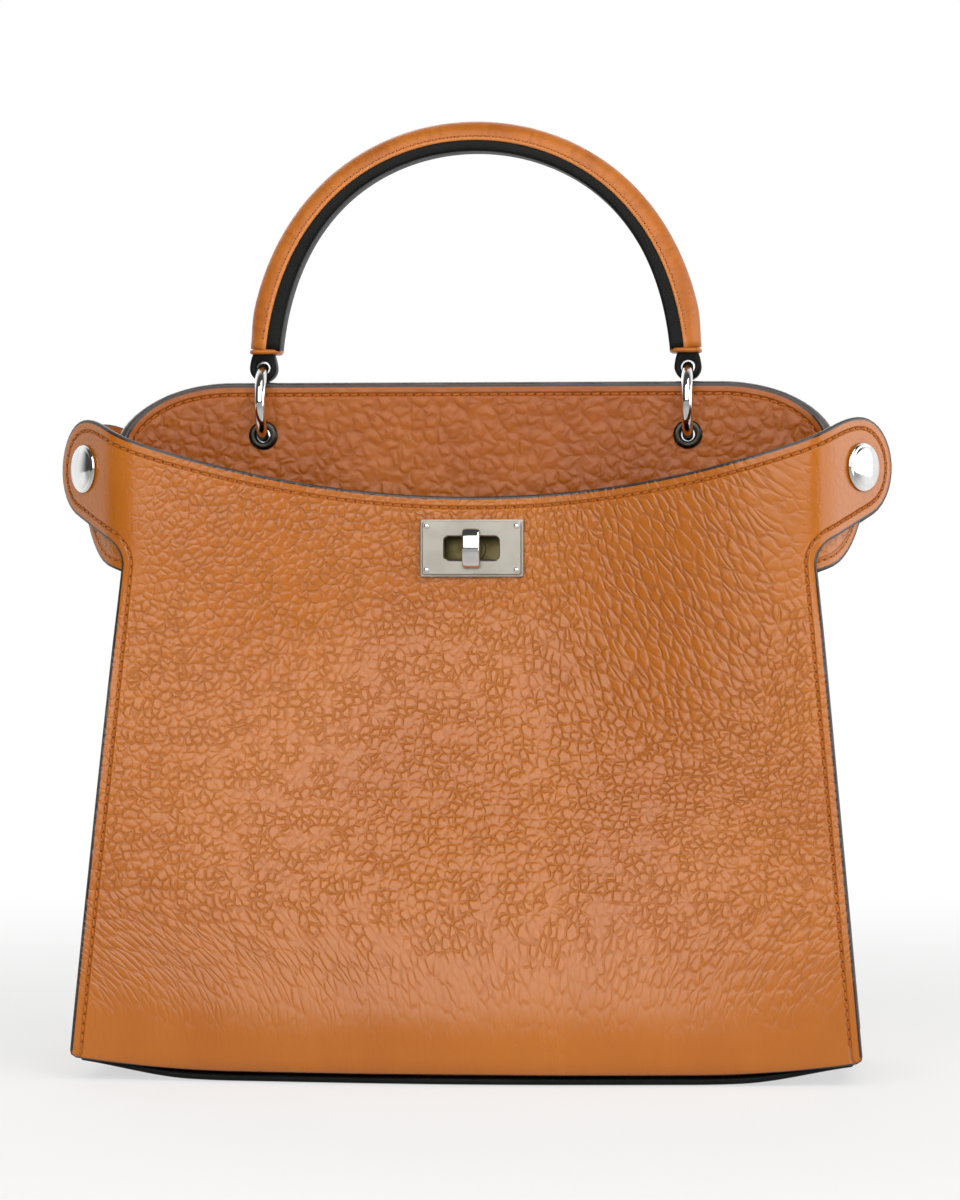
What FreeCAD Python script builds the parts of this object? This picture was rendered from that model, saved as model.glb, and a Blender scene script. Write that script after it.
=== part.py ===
import FreeCAD, Part
import math
import os

V = FreeCAD.Vector

# Leather body: X is the width, Y runs from front to back, Z is up from the ground
base_half_width = 132.4      # side edge of a panel at the bottom
armpit_half_width = 116.6    # side edge just below the ear
armpit_height = 172.4        # where the side edge runs out into the ear
body_half_depth = 57.0       # bulge of a panel at its centre, near the bottom
side_half_depth = 49.0       # depth of a panel at its side edge, near the bottom
side_top_depth = 37.0        # the same at the armpit
edge_above_armpit = 22.6     # top edge of a panel at its centre
top_edge_rise = 17.7         # how much higher the top edge is where the ear bends
roll_radius = 9.0            # the panel rolls under at the bottom
roll_start = 0.4             # height at which the rolled leather is cut off
leather = 1.6
lining = 1.0
lining_drop = 3.2            # lining stops this far below the top edge
layer_gap = 0.3              # between leather layers
edge_margin = 6.0            # from the gusset seam to the side edge of the panel

# Ears: the upper side corners bend round to the side of the bag
ear_angle = 52.0
ear_bend_radius = 14.0
ear_radius = 16.3            # round end about the stud
stud_out = 16.2              # from the end of the bend to the stud
stud_above_armpit = 32.7
crook_out = 2.5              # inner corner between the side edge and the ear
crook_up = 8.0
bend_blend = 40.0            # height over which the bend fades out below the armpit
ear_from = -110.0            # the round end starts at this angle, under the ear
wing_drop = 11.5             # how far the gusset's tab hangs below the ear
wing_leather = 1.4
wing_lap = 3.0               # the tab starts this far inside the bend

# Gussets: one strip folded inwards on each side of each compartment
gusset_leather = 1.2
gusset_fold = 14.0           # depth of the fold at the bottom

# Base
base_leather = 2.4
base_board_thickness = 2.0
base_flat_half = 76.0        # flat stretch that the bag stands on
base_end_rise = 4.5          # lift of the base at its ends
base_lip = 1.5               # base set back from the edge of the panel

# Divider: a stiff board with a leather skin on each face
divider_half_width = 122.0
divider_waist_half = 113.0   # narrower below the ears, between the gussets
divider_above_edge = 39.2    # top of the divider above a panel's top edge
divider_board_thickness = 2.0
divider_skin = 1.2
glue_gap = 0.1
curl_radius = 25.0
curl_angle = 40.0
divider_corner_width = 38.0
divider_corner_height = 22.0

# Eyelets and rings
ring_x = 73.0
eyelet_below_top = 17.2
eyelet_hole_radius = 3.0
eyelet_wall = 0.7
eyelet_flange_radius = 4.95
eyelet_flange = 1.2
eyelet_washer = 0.8
ring_wire_radius = 1.9
ring_mid_radius = 11.7
ring_sag = 0.3               # wire centre below the eyelet's centre

# Handle
handle_rise = 84.6           # top of the arch above the loops' centre
cover_half_width = 6.6
cover_depth = 6.3
cover_leather = 1.5
strap_half_width = 6.0
strap_thickness = 4.7
loop_radius = 4.6
loop_hole_radius = 2.75
loop_half_width = 3.5
leg_clear = 1.7              # from the loop to the end of the handle's cover
leg_drop = 10.0              # the arch's centre lies this far below the leg's end
band_height = 1.5
band_lip = 0.4
band_corner = 2.0
slide_gap = 0.2

# Turn lock
lock_below_edge = 17.0
lock_stand = 11.1            # from the divider's face to the panel's outer face
plate_width = 35.5
plate_height = 19.7
plate_thickness = 1.2
plate_margin = 6.0           # upright, flat leather round the plate
plate_corner = 0.8
plate_edge = 0.3
plate_step = 0.5             # face plate set in from the frame plate
slot_width = 18.7
slot_height = 8.2
rivet_radius = 0.95
rivet_inset = 2.4            # rivet centre from the edge of the frame plate
rivet_head = 0.5
backplate_thickness = 1.0
lock_base_width = 26.0
lock_base_height = 14.0
lock_base_thickness = 1.2
lock_base_corner = 2.0
bush_radius = 4.0
bush_length = 3.2
spindle_radius = 2.0
running_fit = 0.05
collar_radius = 3.2
collar_thickness = 0.8
bar_width = 6.0
bar_height = 13.4
bar_thickness = 4.2
bar_round = 1.4
bar_seat = 2.6               # depth of the spindle inside the bar
bar_clear = 0.4              # between the bar and the face plate
seat_gap = 0.1               # metal on leather
hole_clear = 0.15

# Studs on the ears
stud_radius = 8.25
stud_rim = 1.0
stud_crown = 1.5
stud_post_radius = 2.0
stud_washer_radius = 5.0
stud_washer = 1.0

far = 500.0                  # reach of the cutting blocks, past the whole bag

divider_half = divider_board_thickness / 2 + glue_gap + divider_skin
lock_depth = divider_half + lock_stand
panel_height = armpit_height + edge_above_armpit
divider_top = panel_height + divider_above_edge
lock_z = panel_height - lock_below_edge
bend_x = armpit_half_width - edge_margin
bend_end = armpit_height + edge_margin
stud_z = armpit_height + stud_above_armpit
ear_top = stud_z + ear_radius
bend_length = ear_bend_radius * math.radians(ear_angle)
inside = leather + layer_gap
floor_lift = base_leather + layer_gap + base_board_thickness + layer_gap
eyelet_z = divider_top - eyelet_below_top
ring_z = eyelet_z - ring_sag + ring_mid_radius
loop_z = ring_z + ring_mid_radius
leg_z = loop_z + loop_radius + leg_clear


def export(name, shape):
    os.makedirs("parts", exist_ok=True)
    shape.exportStep("parts/" + name + ".step")


def smooth(t):
    t = min(max(t, 0.0), 1.0)
    return t * t * (3.0 - 2.0 * t)


def mirror_x(shape):
    return shape.mirror(V(0, 0, 0), V(1, 0, 0))


def mirror_y(shape):
    return shape.mirror(V(0, 0, 0), V(0, 1, 0))


def block(x0, x1, y0, y1, z0, z1):
    return Part.makeBox(x1 - x0, y1 - y0, z1 - z0, V(x0, y0, z0))


def rod(radius, x, z, y0, y1):
    return Part.makeCylinder(radius, y1 - y0, V(x, y0, z), V(0, 1, 0))


def line(a, b):
    return Part.LineSegment(a, b).toShape()


def arc(a, b, c):
    return Part.Arc(a, b, c).toShape()


def spline(points):
    curve = Part.BSplineCurve()
    curve.interpolate(points)
    return curve.toShape()


def polygon(points):
    return Part.makePolygon(points + points[:1])


def front_block(edges):
    # A flat outline in X and Z, run through the whole depth of the bag
    face = Part.Face(Part.Wire(edges))
    face.translate(V(0, -far, 0))
    return face.extrude(V(0, 2 * far, 0))


def above_keel(lift):
    # Everything above the underside of the base, moved up by lift
    run = base_half_width - base_flat_half
    radius = (run * run + base_end_rise * base_end_rise) / (2 * base_end_rise)
    turn = 1.05 * math.asin(run / radius)

    def rise(share):
        x = base_flat_half + radius * math.sin(turn * share)
        return x, lift + radius * (1 - math.cos(turn * share))

    mid_x, mid_z = rise(0.5)
    end_x, end_z = rise(1.0)
    right = [
        arc(V(base_flat_half, 0, lift), V(mid_x, 0, mid_z), V(end_x, 0, end_z)),
        line(V(end_x, 0, end_z), V(far, 0, end_z)),
        line(V(far, 0, end_z), V(far, 0, far)),
    ]
    flat = line(V(-base_flat_half, 0, lift), V(base_flat_half, 0, lift))
    over = line(V(far, 0, far), V(-far, 0, far))
    left = [mirror_x(edge) for edge in right]
    return front_block(Part.__sortEdges__([flat] + right + [over] + left))


# Plan of a panel at each height

def half_width(z):
    share = min(z / armpit_height, 1.0)
    return base_half_width - (base_half_width - armpit_half_width) * share


def bend_start(z):
    return half_width(z) - edge_margin


def roll(z):
    low = roll_radius - min(max(z, roll_start), roll_radius)
    return roll_radius - math.sqrt(roll_radius ** 2 - low ** 2)


def centre_depth(z):
    lean_end = lock_z - plate_height / 2 - plate_margin
    share = smooth((z - roll_radius) / (lean_end - roll_radius))
    return body_half_depth - (body_half_depth - lock_depth) * share - roll(z)


def side_depth(z):
    return side_half_depth - (side_half_depth - side_top_depth) * smooth(z / armpit_height) - roll(z)


def bend_at(z):
    # Angle that the side of the panel has turned through, in radians
    start = armpit_height - bend_blend
    return math.radians(ear_angle) * smooth((z - start) / (bend_end - start))


def bend_point(z, length, inset):
    # Point past the bend line, measured along the leather and set in from its outer face
    angle = bend_at(z)
    turned = angle * min(length / bend_length, 1.0)
    along = min(length, bend_length)
    x, y = bend_start(z), -side_depth(z)
    if angle > 1e-6:
        radius = bend_length / angle
        x += radius * math.sin(turned)
        y += radius * (1 - math.cos(turned))
    else:
        x += along
    x += (length - along) * math.cos(turned)
    y += (length - along) * math.sin(turned)
    return V(x - inset * math.sin(turned), y + inset * math.cos(turned), z)


ear_length = bend_length + stud_out + ear_radius + edge_margin
ear_steps = [bend_length * share / 4 for share in range(1, 5)]
ear_steps += [bend_length + (ear_length - bend_length) * share for share in (0.12, 0.25, 0.45, 0.7, 1.0)]


def face_half(z, inset):
    # Right half of a panel's plan: flat behind the lock, then easing to the side's depth
    flat = plate_width / 2 + plate_margin / 3
    reach = bend_start(z) - flat
    points = [V(flat / 2, -centre_depth(z) + inset, z)]
    for step in range(5):
        share = step / 4
        depth = centre_depth(z) + (side_depth(z) - centre_depth(z)) * smooth(share)
        points.append(V(flat + reach * share, -depth + inset, z))
    return points


def ear_half(z, inset):
    return [bend_point(z, length, inset) for length in ear_steps]


def full_plan(z, inset):
    right = face_half(z, inset) + ear_half(z, inset)
    left = [V(-p.x, p.y, p.z) for p in reversed(right)]
    return left + [V(0, -centre_depth(z) + inset, z)] + right


def section(outer, inner):
    edges = [spline(outer), line(outer[-1], inner[-1])]
    edges += [spline(list(reversed(inner))), line(inner[0], outer[0])]
    return Part.Wire(edges)


def heights():
    low = [roll_start, roll_radius * 0.3, roll_radius * 0.65, roll_radius]
    share_steps = [0.12, 0.28, 0.45, 0.62, 0.76, 0.86, 0.95]
    return low + [armpit_height * share for share in share_steps] + [bend_end]


def panel_layer(inset, thickness):
    # One layer of the panel: shaped up to the end of the bend, and upright above it
    wires = [section(full_plan(z, inset), full_plan(z, inset + thickness)) for z in heights()]
    lower = Part.makeLoft(wires, True, False)
    upper = Part.Face(wires[-1]).extrude(V(0, 0, ear_top + edge_margin - bend_end))
    return lower.fuse(upper)


stud_point = bend_point(stud_z, bend_length + stud_out, 0.0)
stud_normal = V(math.sin(math.radians(ear_angle)), -math.cos(math.radians(ear_angle)), 0)
ear_half_width = ear_radius * math.cos(math.radians(ear_angle))


def ear_curve(drop, inset):
    # Round end of the ear as seen from the front, from its underside to its top
    points = []
    for step in range(9):
        angle = math.radians(ear_from + (90 - ear_from) * step / 8)
        x = stud_point.x + ear_half_width * math.cos(angle) - inset * stud_normal.x
        z = stud_z - drop + ear_radius * math.sin(angle)
        points.append(V(x, 0, z))
    return points


def panel_outline():
    ear = ear_curve(0.0, 0.0)
    corner = V(bend_x, 0, panel_height + top_edge_rise)
    armpit = V(armpit_half_width, 0, armpit_height)
    crook = V(armpit_half_width + crook_out, 0, armpit_height + crook_up)
    foot = V(base_half_width, 0, 0)
    right = [line(foot, armpit), line(armpit, crook), line(crook, ear[0])]
    right += [spline(ear), line(ear[-1], corner)]
    flip = [mirror_x(edge) for edge in right]
    top = arc(corner, V(0, 0, panel_height), V(-corner.x, 0, corner.z))
    bottom = line(V(-foot.x, 0, 0), foot)
    return front_block(Part.__sortEdges__(right + [top] + flip + [bottom]))


def lining_outline():
    side = edge_margin + wing_lap + 2 * layer_gap
    foot = V(base_half_width - side, 0, 0)
    shoulder = V(armpit_half_width - side, 0, armpit_height)
    corner = V(armpit_half_width - side, 0, panel_height + top_edge_rise - 1.5 * lining_drop)
    top = V(0, 0, panel_height - lining_drop)
    edges = [line(V(-foot.x, 0, 0), foot), line(foot, shoulder), line(shoulder, corner)]
    edges += [arc(corner, top, V(-corner.x, 0, corner.z))]
    edges += [line(V(-corner.x, 0, corner.z), V(-shoulder.x, 0, shoulder.z))]
    edges += [line(V(-shoulder.x, 0, shoulder.z), V(-foot.x, 0, 0))]
    return front_block(edges)


rivet_x = plate_width / 2 - rivet_inset
rivet_z = plate_height / 2 - rivet_inset
rivet_places = [(sx * rivet_x, lock_z + sz * rivet_z) for sx in (-1, 1) for sz in (-1, 1)]


def lock_cut(y0, y1):
    # Slot and rivet holes through whatever lies between the two depths
    half = slot_height / 2
    slot = block(-slot_width / 2, slot_width / 2, y0, y1, lock_z - half, lock_z + half)
    holes = [rod(rivet_radius + hole_clear, x, z, y0, y1) for x, z in rivet_places]
    return slot.multiFuse(holes)


def stud_rod(radius, low, high):
    # A round piece on the stud's axis, with heights measured outwards from the ear
    return Part.makeCylinder(radius, high - low, stud_point + stud_normal * low, stud_normal)


def stud_holes():
    hole = stud_rod(stud_post_radius + hole_clear, -stud_radius, stud_radius)
    return hole.fuse(mirror_x(hole))


def make_panel():
    shape = panel_layer(0.0, leather).common(panel_outline())
    shape = shape.common(above_keel(base_leather + layer_gap))
    return shape.cut(lock_cut(-far, 0.0)).cut(stud_holes())


def make_lining():
    shape = panel_layer(inside, lining).common(lining_outline())
    return shape.common(above_keel(floor_lift)).cut(lock_cut(-far, 0.0))


# Gussets

def seam_points(z):
    a = V(bend_start(z), -side_depth(z) + inside + gusset_leather / 2, z)
    b = V(curl_start() - gusset_leather, -divider_half - layer_gap - gusset_leather / 2, z)
    return a, b


def fold_point(z, strip):
    a, b = seam_points(z)
    span = b - a
    depth = math.sqrt(strip * strip - span.Length * span.Length) / 2
    inward = V(-span.y, span.x, 0).normalize()
    return (a + b) / 2 + inward * depth


def gusset_section(z, strip):
    # The folded strip from seam to seam, with a mitred fold
    a, b = seam_points(z)
    m = fold_point(z, strip)
    first, second = (m - a).normalize(), (b - m).normalize()
    first, second = V(-first.y, first.x, 0), V(-second.y, second.x, 0)
    mitre = (first + second) / (1 + first.dot(second))
    half = gusset_leather / 2
    outer = [a - first * half, m - mitre * half, b - second * half]
    inner = [b + second * half, m + mitre * half, a + first * half]
    return polygon(outer + inner)


def make_wing():
    # Tab of the gusset behind the ear, held by the same stud
    ear = ear_curve(wing_drop, inside + wing_leather)
    heel = V(bend_x - wing_lap, 0, armpit_height - edge_margin)
    head = V(bend_x - wing_lap, 0, ear_top - 2 * wing_drop)
    tip = V(ear[4].x, 0, ear_top - wing_drop)
    edges = [line(heel, ear[0]), spline(ear[:7]), line(ear[6], tip), line(tip, head), line(head, heel)]
    return panel_layer(inside, wing_leather).common(front_block(edges))


def make_gusset():
    a, b = seam_points(roll_radius)
    strip = 2 * math.sqrt((b - a).Length ** 2 / 4 + gusset_fold ** 2)
    fold = Part.makeLoft([gusset_section(z, strip) for z in heights()], True, False)
    shape = fold.common(above_keel(floor_lift)).fuse(make_wing())
    return shape.cut(stud_holes())


# Base

def base_plan(inset):
    z = base_leather
    end = base_half_width - base_lip - inset
    front = []
    for step in range(9):
        share = -1 + step / 4
        depth = centre_depth(z) + (side_depth(z) - centre_depth(z)) * smooth(abs(share))
        front.append(V(end * share, -depth + base_lip + inset, 0))
    back = [V(p.x, -p.y, 0) for p in reversed(front)]
    edges = [spline(front), line(front[-1], back[0]), spline(back), line(back[-1], front[0])]
    return Part.Face(Part.Wire(edges))


def base_layer(inset, low, high):
    block_up = base_plan(inset).extrude(V(0, 0, far / 2))
    return block_up.common(above_keel(low)).cut(above_keel(high))


# Divider

def curl_start():
    return divider_half_width - curl_radius * math.sin(math.radians(curl_angle))


def divider_layer(near, behind):
    # Sheet between two distances behind the middle plane, with its ends curled forwards
    def side(offset, flip):
        radius = curl_radius + offset
        centre = V(flip * curl_start(), -curl_radius, 0)
        points = []
        for share in (0.0, 0.5, 1.0):
            angle = math.radians(curl_angle) * share
            points.append(centre + V(flip * radius * math.sin(angle), radius * math.cos(angle), 0))
        return points

    def run(offset):
        left, right = side(offset, -1), side(offset, 1)
        edges = [arc(left[2], left[1], left[0]), line(left[0], right[0]), arc(*right)]
        return edges, left[2], right[2]

    near_edges, near_left, near_right = run(near)
    far_edges, far_left, far_right = run(behind)
    ends = [line(near_right, far_right), line(far_left, near_left)]
    wire = Part.Wire(Part.__sortEdges__(near_edges + far_edges + ends))
    sheet = Part.Face(wire).extrude(V(0, 0, divider_top))
    return sheet.common(divider_outline()).common(above_keel(floor_lift)).cut(eyelet_holes())


def divider_outline():
    level = divider_top - divider_corner_height
    start = divider_half_width - divider_corner_width
    corner = []
    for step in range(6):
        angle = math.radians(90 * step / 5)
        x = start + divider_corner_width * math.sin(angle)
        corner.append(V(x, 0, level + divider_corner_height * math.cos(angle)))
    flip = [V(-p.x, 0, p.z) for p in reversed(corner)]
    waist, foot = V(divider_waist_half, 0, armpit_height), V(divider_waist_half, 0, -1)
    right = [line(corner[0], flip[-1]), spline(corner), line(corner[-1], waist), line(waist, foot)]
    left = [mirror_x(edge) for edge in right[1:]]
    edges = Part.__sortEdges__(right + left + [line(foot, V(-foot.x, 0, -1))])
    return front_block(edges)


def eyelet_holes():
    hole = rod(eyelet_hole_radius + eyelet_wall + hole_clear, ring_x, eyelet_z, -far, far)
    return hole.fuse(mirror_x(hole))


def make_eyelet():
    front = -divider_half - seat_gap
    end = divider_half + seat_gap + eyelet_washer
    barrel = rod(eyelet_hole_radius + eyelet_wall, ring_x, eyelet_z, front, end)
    flange = rod(eyelet_flange_radius, ring_x, eyelet_z, front - eyelet_flange, front)
    rim = [edge for edge in flange.Edges if abs(edge.CenterOfMass.y - front + eyelet_flange) < 1e-3]
    flange = flange.makeFillet(0.6 * eyelet_flange, rim)
    bore = rod(eyelet_hole_radius, ring_x, eyelet_z, -far, far)
    return barrel.fuse(flange).cut(bore).removeSplitter()


def make_eyelet_washer():
    near = divider_half + seat_gap
    disc = rod(eyelet_flange_radius, ring_x, eyelet_z, near, near + eyelet_washer)
    return disc.cut(rod(eyelet_hole_radius + eyelet_wall + running_fit, ring_x, eyelet_z, -far, far))


def make_ring():
    return Part.makeTorus(ring_mid_radius, ring_wire_radius, V(ring_x, 0, ring_z), V(1, 0, 0))


# Handle: a half-round leather cover over a core, on a flat strap that ends in two loops

arch_z = leg_z - leg_drop
seam_rise = loop_z + handle_rise - cover_depth - arch_z
leg_seam = ring_x + (strap_thickness + slide_gap - cover_depth) / 2
seam_half = leg_seam / math.sqrt(1 - (leg_drop / seam_rise) ** 2)


def arch(edges):
    # Sweep of a section that stands at the right leg, over the top and down to the left leg
    centre = V(0, 0, arch_z)
    top = V(0, 0, arch_z + seam_rise)
    if seam_rise > seam_half:
        path = Part.Ellipse(top, V(-seam_half, 0, arch_z), centre).toShape(-math.pi / 2, math.pi / 2)
    else:
        path = Part.Ellipse(V(seam_half, 0, arch_z), top, centre).toShape(0, math.pi)
    return Part.Wire([path]).makePipe(Part.Face(Part.Wire(edges)))


def half_round(inset):
    wide = cover_half_width - inset
    out = seam_half + cover_depth - inset
    low, high = V(seam_half, -wide, arch_z), V(seam_half, wide, arch_z)
    return [arc(low, V(out, 0, arch_z), high), line(high, low)]


def above(z):
    return block(-far, far, -far, far, z, far)


def make_strap():
    x1 = seam_half - slide_gap
    x0 = x1 - strap_thickness
    corners = [V(x0, -strap_half_width, arch_z), V(x1, -strap_half_width, arch_z)]
    corners += [V(x1, strap_half_width, arch_z), V(x0, strap_half_width, arch_z)]
    body = arch(polygon(corners).Edges)
    low = block(-far, far, -far, far, loop_z, leg_z)
    narrow = block(-far, far, -loop_half_width, loop_half_width, loop_z, leg_z)
    body = body.common(above(leg_z)).fuse(body.common(low).common(narrow))
    for flip in (-1, 1):
        body = body.fuse(rod(loop_radius, flip * ring_x, loop_z, -loop_half_width, loop_half_width))
    for flip in (-1, 1):
        body = body.cut(rod(loop_hole_radius, flip * ring_x, loop_z, -far, far))
    return body.removeSplitter()


def make_band():
    # Narrow end band under the leg, with the strap passing through it
    half = cover_half_width + band_lip
    reach = (strap_thickness + slide_gap + cover_depth) / 2 + band_lip
    low, high = leg_z - band_height - seat_gap, leg_z - seat_gap
    plate_shape = block(ring_x - reach, ring_x + reach, -half, half, low, high)
    upright = [edge for edge in plate_shape.Edges if abs(edge.tangentAt(0).z) > 0.9]
    plate_shape = plate_shape.makeFillet(band_corner, upright)
    pass_half = loop_half_width + slide_gap
    hole = block(leg_seam - strap_thickness - 2 * slide_gap, seam_half, -pass_half, pass_half, low, high)
    loop = rod(loop_radius + slide_gap, ring_x, loop_z, -pass_half, pass_half)
    return plate_shape.cut(hole).cut(loop)


# Turn lock, from the divider outwards

lock_face_y = -lock_depth - seat_gap - 2 * plate_thickness
base_y = -divider_half
bar_back = lock_face_y - bar_clear


def plate(width, height, y0, y1):
    return block(-width / 2, width / 2, y0, y1, lock_z - height / 2, lock_z + height / 2)


def rounded_plate(width, height, y0, y1, corner, edge):
    shape = plate(width, height, y0, y1)
    upright = [e for e in shape.Edges if abs(e.tangentAt(0).y) > 0.9]
    shape = shape.makeFillet(corner, upright)
    front = [e for e in shape.Edges if abs(e.CenterOfMass.y - y0) < 1e-3]
    return shape.makeChamfer(edge, front)


def make_lock_frame():
    y1 = -lock_depth - seat_gap
    shape = rounded_plate(plate_width, plate_height, y1 - plate_thickness, y1, plate_corner, plate_edge)
    return shape.cut(lock_cut(-far, 0.0))


def make_lock_face():
    y1 = -lock_depth - seat_gap - plate_thickness
    wide, high = plate_width - 2 * plate_step, plate_height - 2 * plate_step
    shape = rounded_plate(wide, high, y1 - plate_thickness, y1, plate_corner, plate_edge)
    return shape.cut(lock_cut(-far, 0.0))


def make_lock_backplate():
    y0 = -lock_depth + inside + lining + layer_gap
    shape = plate(plate_width, plate_height, y0, y0 + backplate_thickness)
    return shape.cut(lock_cut(-far, 0.0))


def make_lock_rivets():
    tail = -lock_depth + inside + lining + layer_gap + backplate_thickness
    rivets = []
    for x, z in rivet_places:
        shank = rod(rivet_radius, x, z, lock_face_y - rivet_head, tail)
        tip = [e for e in shank.Edges if abs(e.CenterOfMass.y - lock_face_y + rivet_head) < 1e-3]
        rivets.append(shank.makeFillet(0.6 * rivet_head, tip))
    return Part.makeCompound(rivets)


def make_lock_base():
    foot = plate(lock_base_width, lock_base_height, base_y - lock_base_thickness, base_y)
    foot = foot.makeFillet(lock_base_corner, [e for e in foot.Edges if abs(e.tangentAt(0).y) > 0.9])
    bush = rod(bush_radius, 0, lock_z, base_y - lock_base_thickness - bush_length, base_y)
    return foot.fuse(bush).cut(rod(spindle_radius + running_fit, 0, lock_z, -far, 0)).removeSplitter()


def make_lock_spindle():
    bush_end = base_y - lock_base_thickness - bush_length
    shaft = rod(spindle_radius, 0, lock_z, bar_back - bar_seat, base_y - running_fit)
    collar = rod(collar_radius, 0, lock_z, bush_end - seat_gap - collar_thickness, bush_end - seat_gap)
    return shaft.fuse(collar).removeSplitter()


def make_turn_bar():
    shape = plate(bar_width, bar_height, bar_back - bar_thickness, bar_back)
    upright = [e for e in shape.Edges if abs(e.tangentAt(0).y) > 0.9]
    shape = shape.makeFillet(bar_round, upright)
    front = [e for e in shape.Edges if abs(e.CenterOfMass.y - bar_back + bar_thickness) < 1e-3]
    shape = shape.makeFillet(0.8 * bar_round, front)
    seat = rod(spindle_radius + running_fit, 0, lock_z, bar_back - bar_seat - running_fit, 0)
    return shape.cut(seat)


# Studs

def make_stud():
    # Domed cap with a post through the ear and the tab behind it, turned in one piece
    base = seat_gap + hole_clear
    rim = base + stud_rim
    crown = rim + stud_crown
    tail = -(inside + wing_leather + seat_gap + stud_washer)
    dome = (stud_radius ** 2 + stud_crown ** 2) / (2 * stud_crown)
    half = math.asin(stud_radius / dome) / 2
    midway = V(dome * math.sin(half), 0, crown - dome + dome * math.cos(half))
    corners = [V(0, 0, tail), V(stud_post_radius, 0, tail), V(stud_post_radius, 0, base), V(stud_radius, 0, base),
               V(stud_radius, 0, rim)]
    edges = [Part.makeLine(a, b) for a, b in zip(corners, corners[1:])]
    edges.append(Part.Arc(corners[-1], midway, V(0, 0, crown)).toShape())
    edges.append(Part.makeLine(V(0, 0, crown), corners[0]))
    shape = Part.Face(Part.Wire(edges)).revolve(V(0, 0, 0), V(0, 0, 1), 360)
    shape.Placement = FreeCAD.Placement(stud_point, FreeCAD.Rotation(V(0, 0, 1), stud_normal))
    return shape


def make_stud_washer():
    high = -(inside + wing_leather + seat_gap)
    disc = stud_rod(stud_washer_radius, high - stud_washer, high)
    return disc.cut(stud_rod(stud_post_radius + running_fit, high - far, high + far))


# Build and write every piece

def export_pair(name, shape):
    export("right_" + name, shape)
    export("left_" + name, mirror_x(shape))


def export_front_and_back(name, shape):
    export("front_" + name, shape)
    export("back_" + name, mirror_y(shape))


def export_four(name, shape):
    export_front_and_back("right_" + name, shape)
    export_front_and_back("left_" + name, mirror_x(shape))


export_front_and_back("panel", make_panel())
export_front_and_back("lining", make_lining())
export_four("gusset", make_gusset())
export("base_panel", base_layer(0.0, 0.0, base_leather))
export("base_board", base_layer(inside, base_leather + layer_gap, floor_lift - layer_gap))

board_half = divider_board_thickness / 2
export("divider_board", divider_layer(-board_half, board_half))
export("divider_front_skin", divider_layer(-divider_half, -board_half - glue_gap))
export("divider_back_skin", divider_layer(board_half + glue_gap, divider_half))

export_pair("eyelet", make_eyelet())
export_pair("eyelet_washer", make_eyelet_washer())
export_pair("handle_ring", make_ring())

export("handle_strap", make_strap())
export("handle_cover", arch(half_round(0.0)).cut(arch(half_round(cover_leather))).common(above(leg_z)))
export("handle_core", arch(half_round(cover_leather + slide_gap)).common(above(leg_z)))
export_pair("handle_band", make_band())

export_front_and_back("lock_frame", make_lock_frame())
export_front_and_back("lock_face", make_lock_face())
export_front_and_back("lock_rivets", make_lock_rivets())
export_front_and_back("lock_backplate", make_lock_backplate())
export_front_and_back("lock_base", make_lock_base())
export_front_and_back("lock_spindle", make_lock_spindle())
export_front_and_back("turn_bar", make_turn_bar())

export_four("stud", make_stud())
export_four("stud_washer", make_stud_washer())
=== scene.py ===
import bpy
import math
import numpy as np
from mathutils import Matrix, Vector, noise


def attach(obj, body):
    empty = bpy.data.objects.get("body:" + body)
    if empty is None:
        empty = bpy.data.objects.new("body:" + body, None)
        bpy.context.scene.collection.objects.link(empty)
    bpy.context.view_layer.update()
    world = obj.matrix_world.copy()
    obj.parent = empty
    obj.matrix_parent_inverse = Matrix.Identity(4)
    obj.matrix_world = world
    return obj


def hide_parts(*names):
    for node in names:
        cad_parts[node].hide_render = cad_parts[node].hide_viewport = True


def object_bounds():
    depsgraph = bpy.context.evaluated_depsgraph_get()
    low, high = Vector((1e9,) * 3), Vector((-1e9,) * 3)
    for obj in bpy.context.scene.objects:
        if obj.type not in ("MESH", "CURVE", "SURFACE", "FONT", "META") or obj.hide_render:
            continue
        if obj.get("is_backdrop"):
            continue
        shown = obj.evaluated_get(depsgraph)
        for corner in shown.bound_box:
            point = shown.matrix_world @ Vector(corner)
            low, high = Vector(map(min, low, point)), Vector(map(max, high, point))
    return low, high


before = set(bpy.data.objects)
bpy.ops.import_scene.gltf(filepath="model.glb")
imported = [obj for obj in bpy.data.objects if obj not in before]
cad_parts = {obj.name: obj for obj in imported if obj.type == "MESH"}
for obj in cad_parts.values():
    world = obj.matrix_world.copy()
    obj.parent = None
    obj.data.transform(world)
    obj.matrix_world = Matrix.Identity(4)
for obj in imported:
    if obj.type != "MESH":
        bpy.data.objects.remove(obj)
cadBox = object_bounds()  # box of the solids, before any dressing
scene = bpy.context.scene
mm = 0.001
print("frame loaded:", len(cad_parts), "solids")


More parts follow.
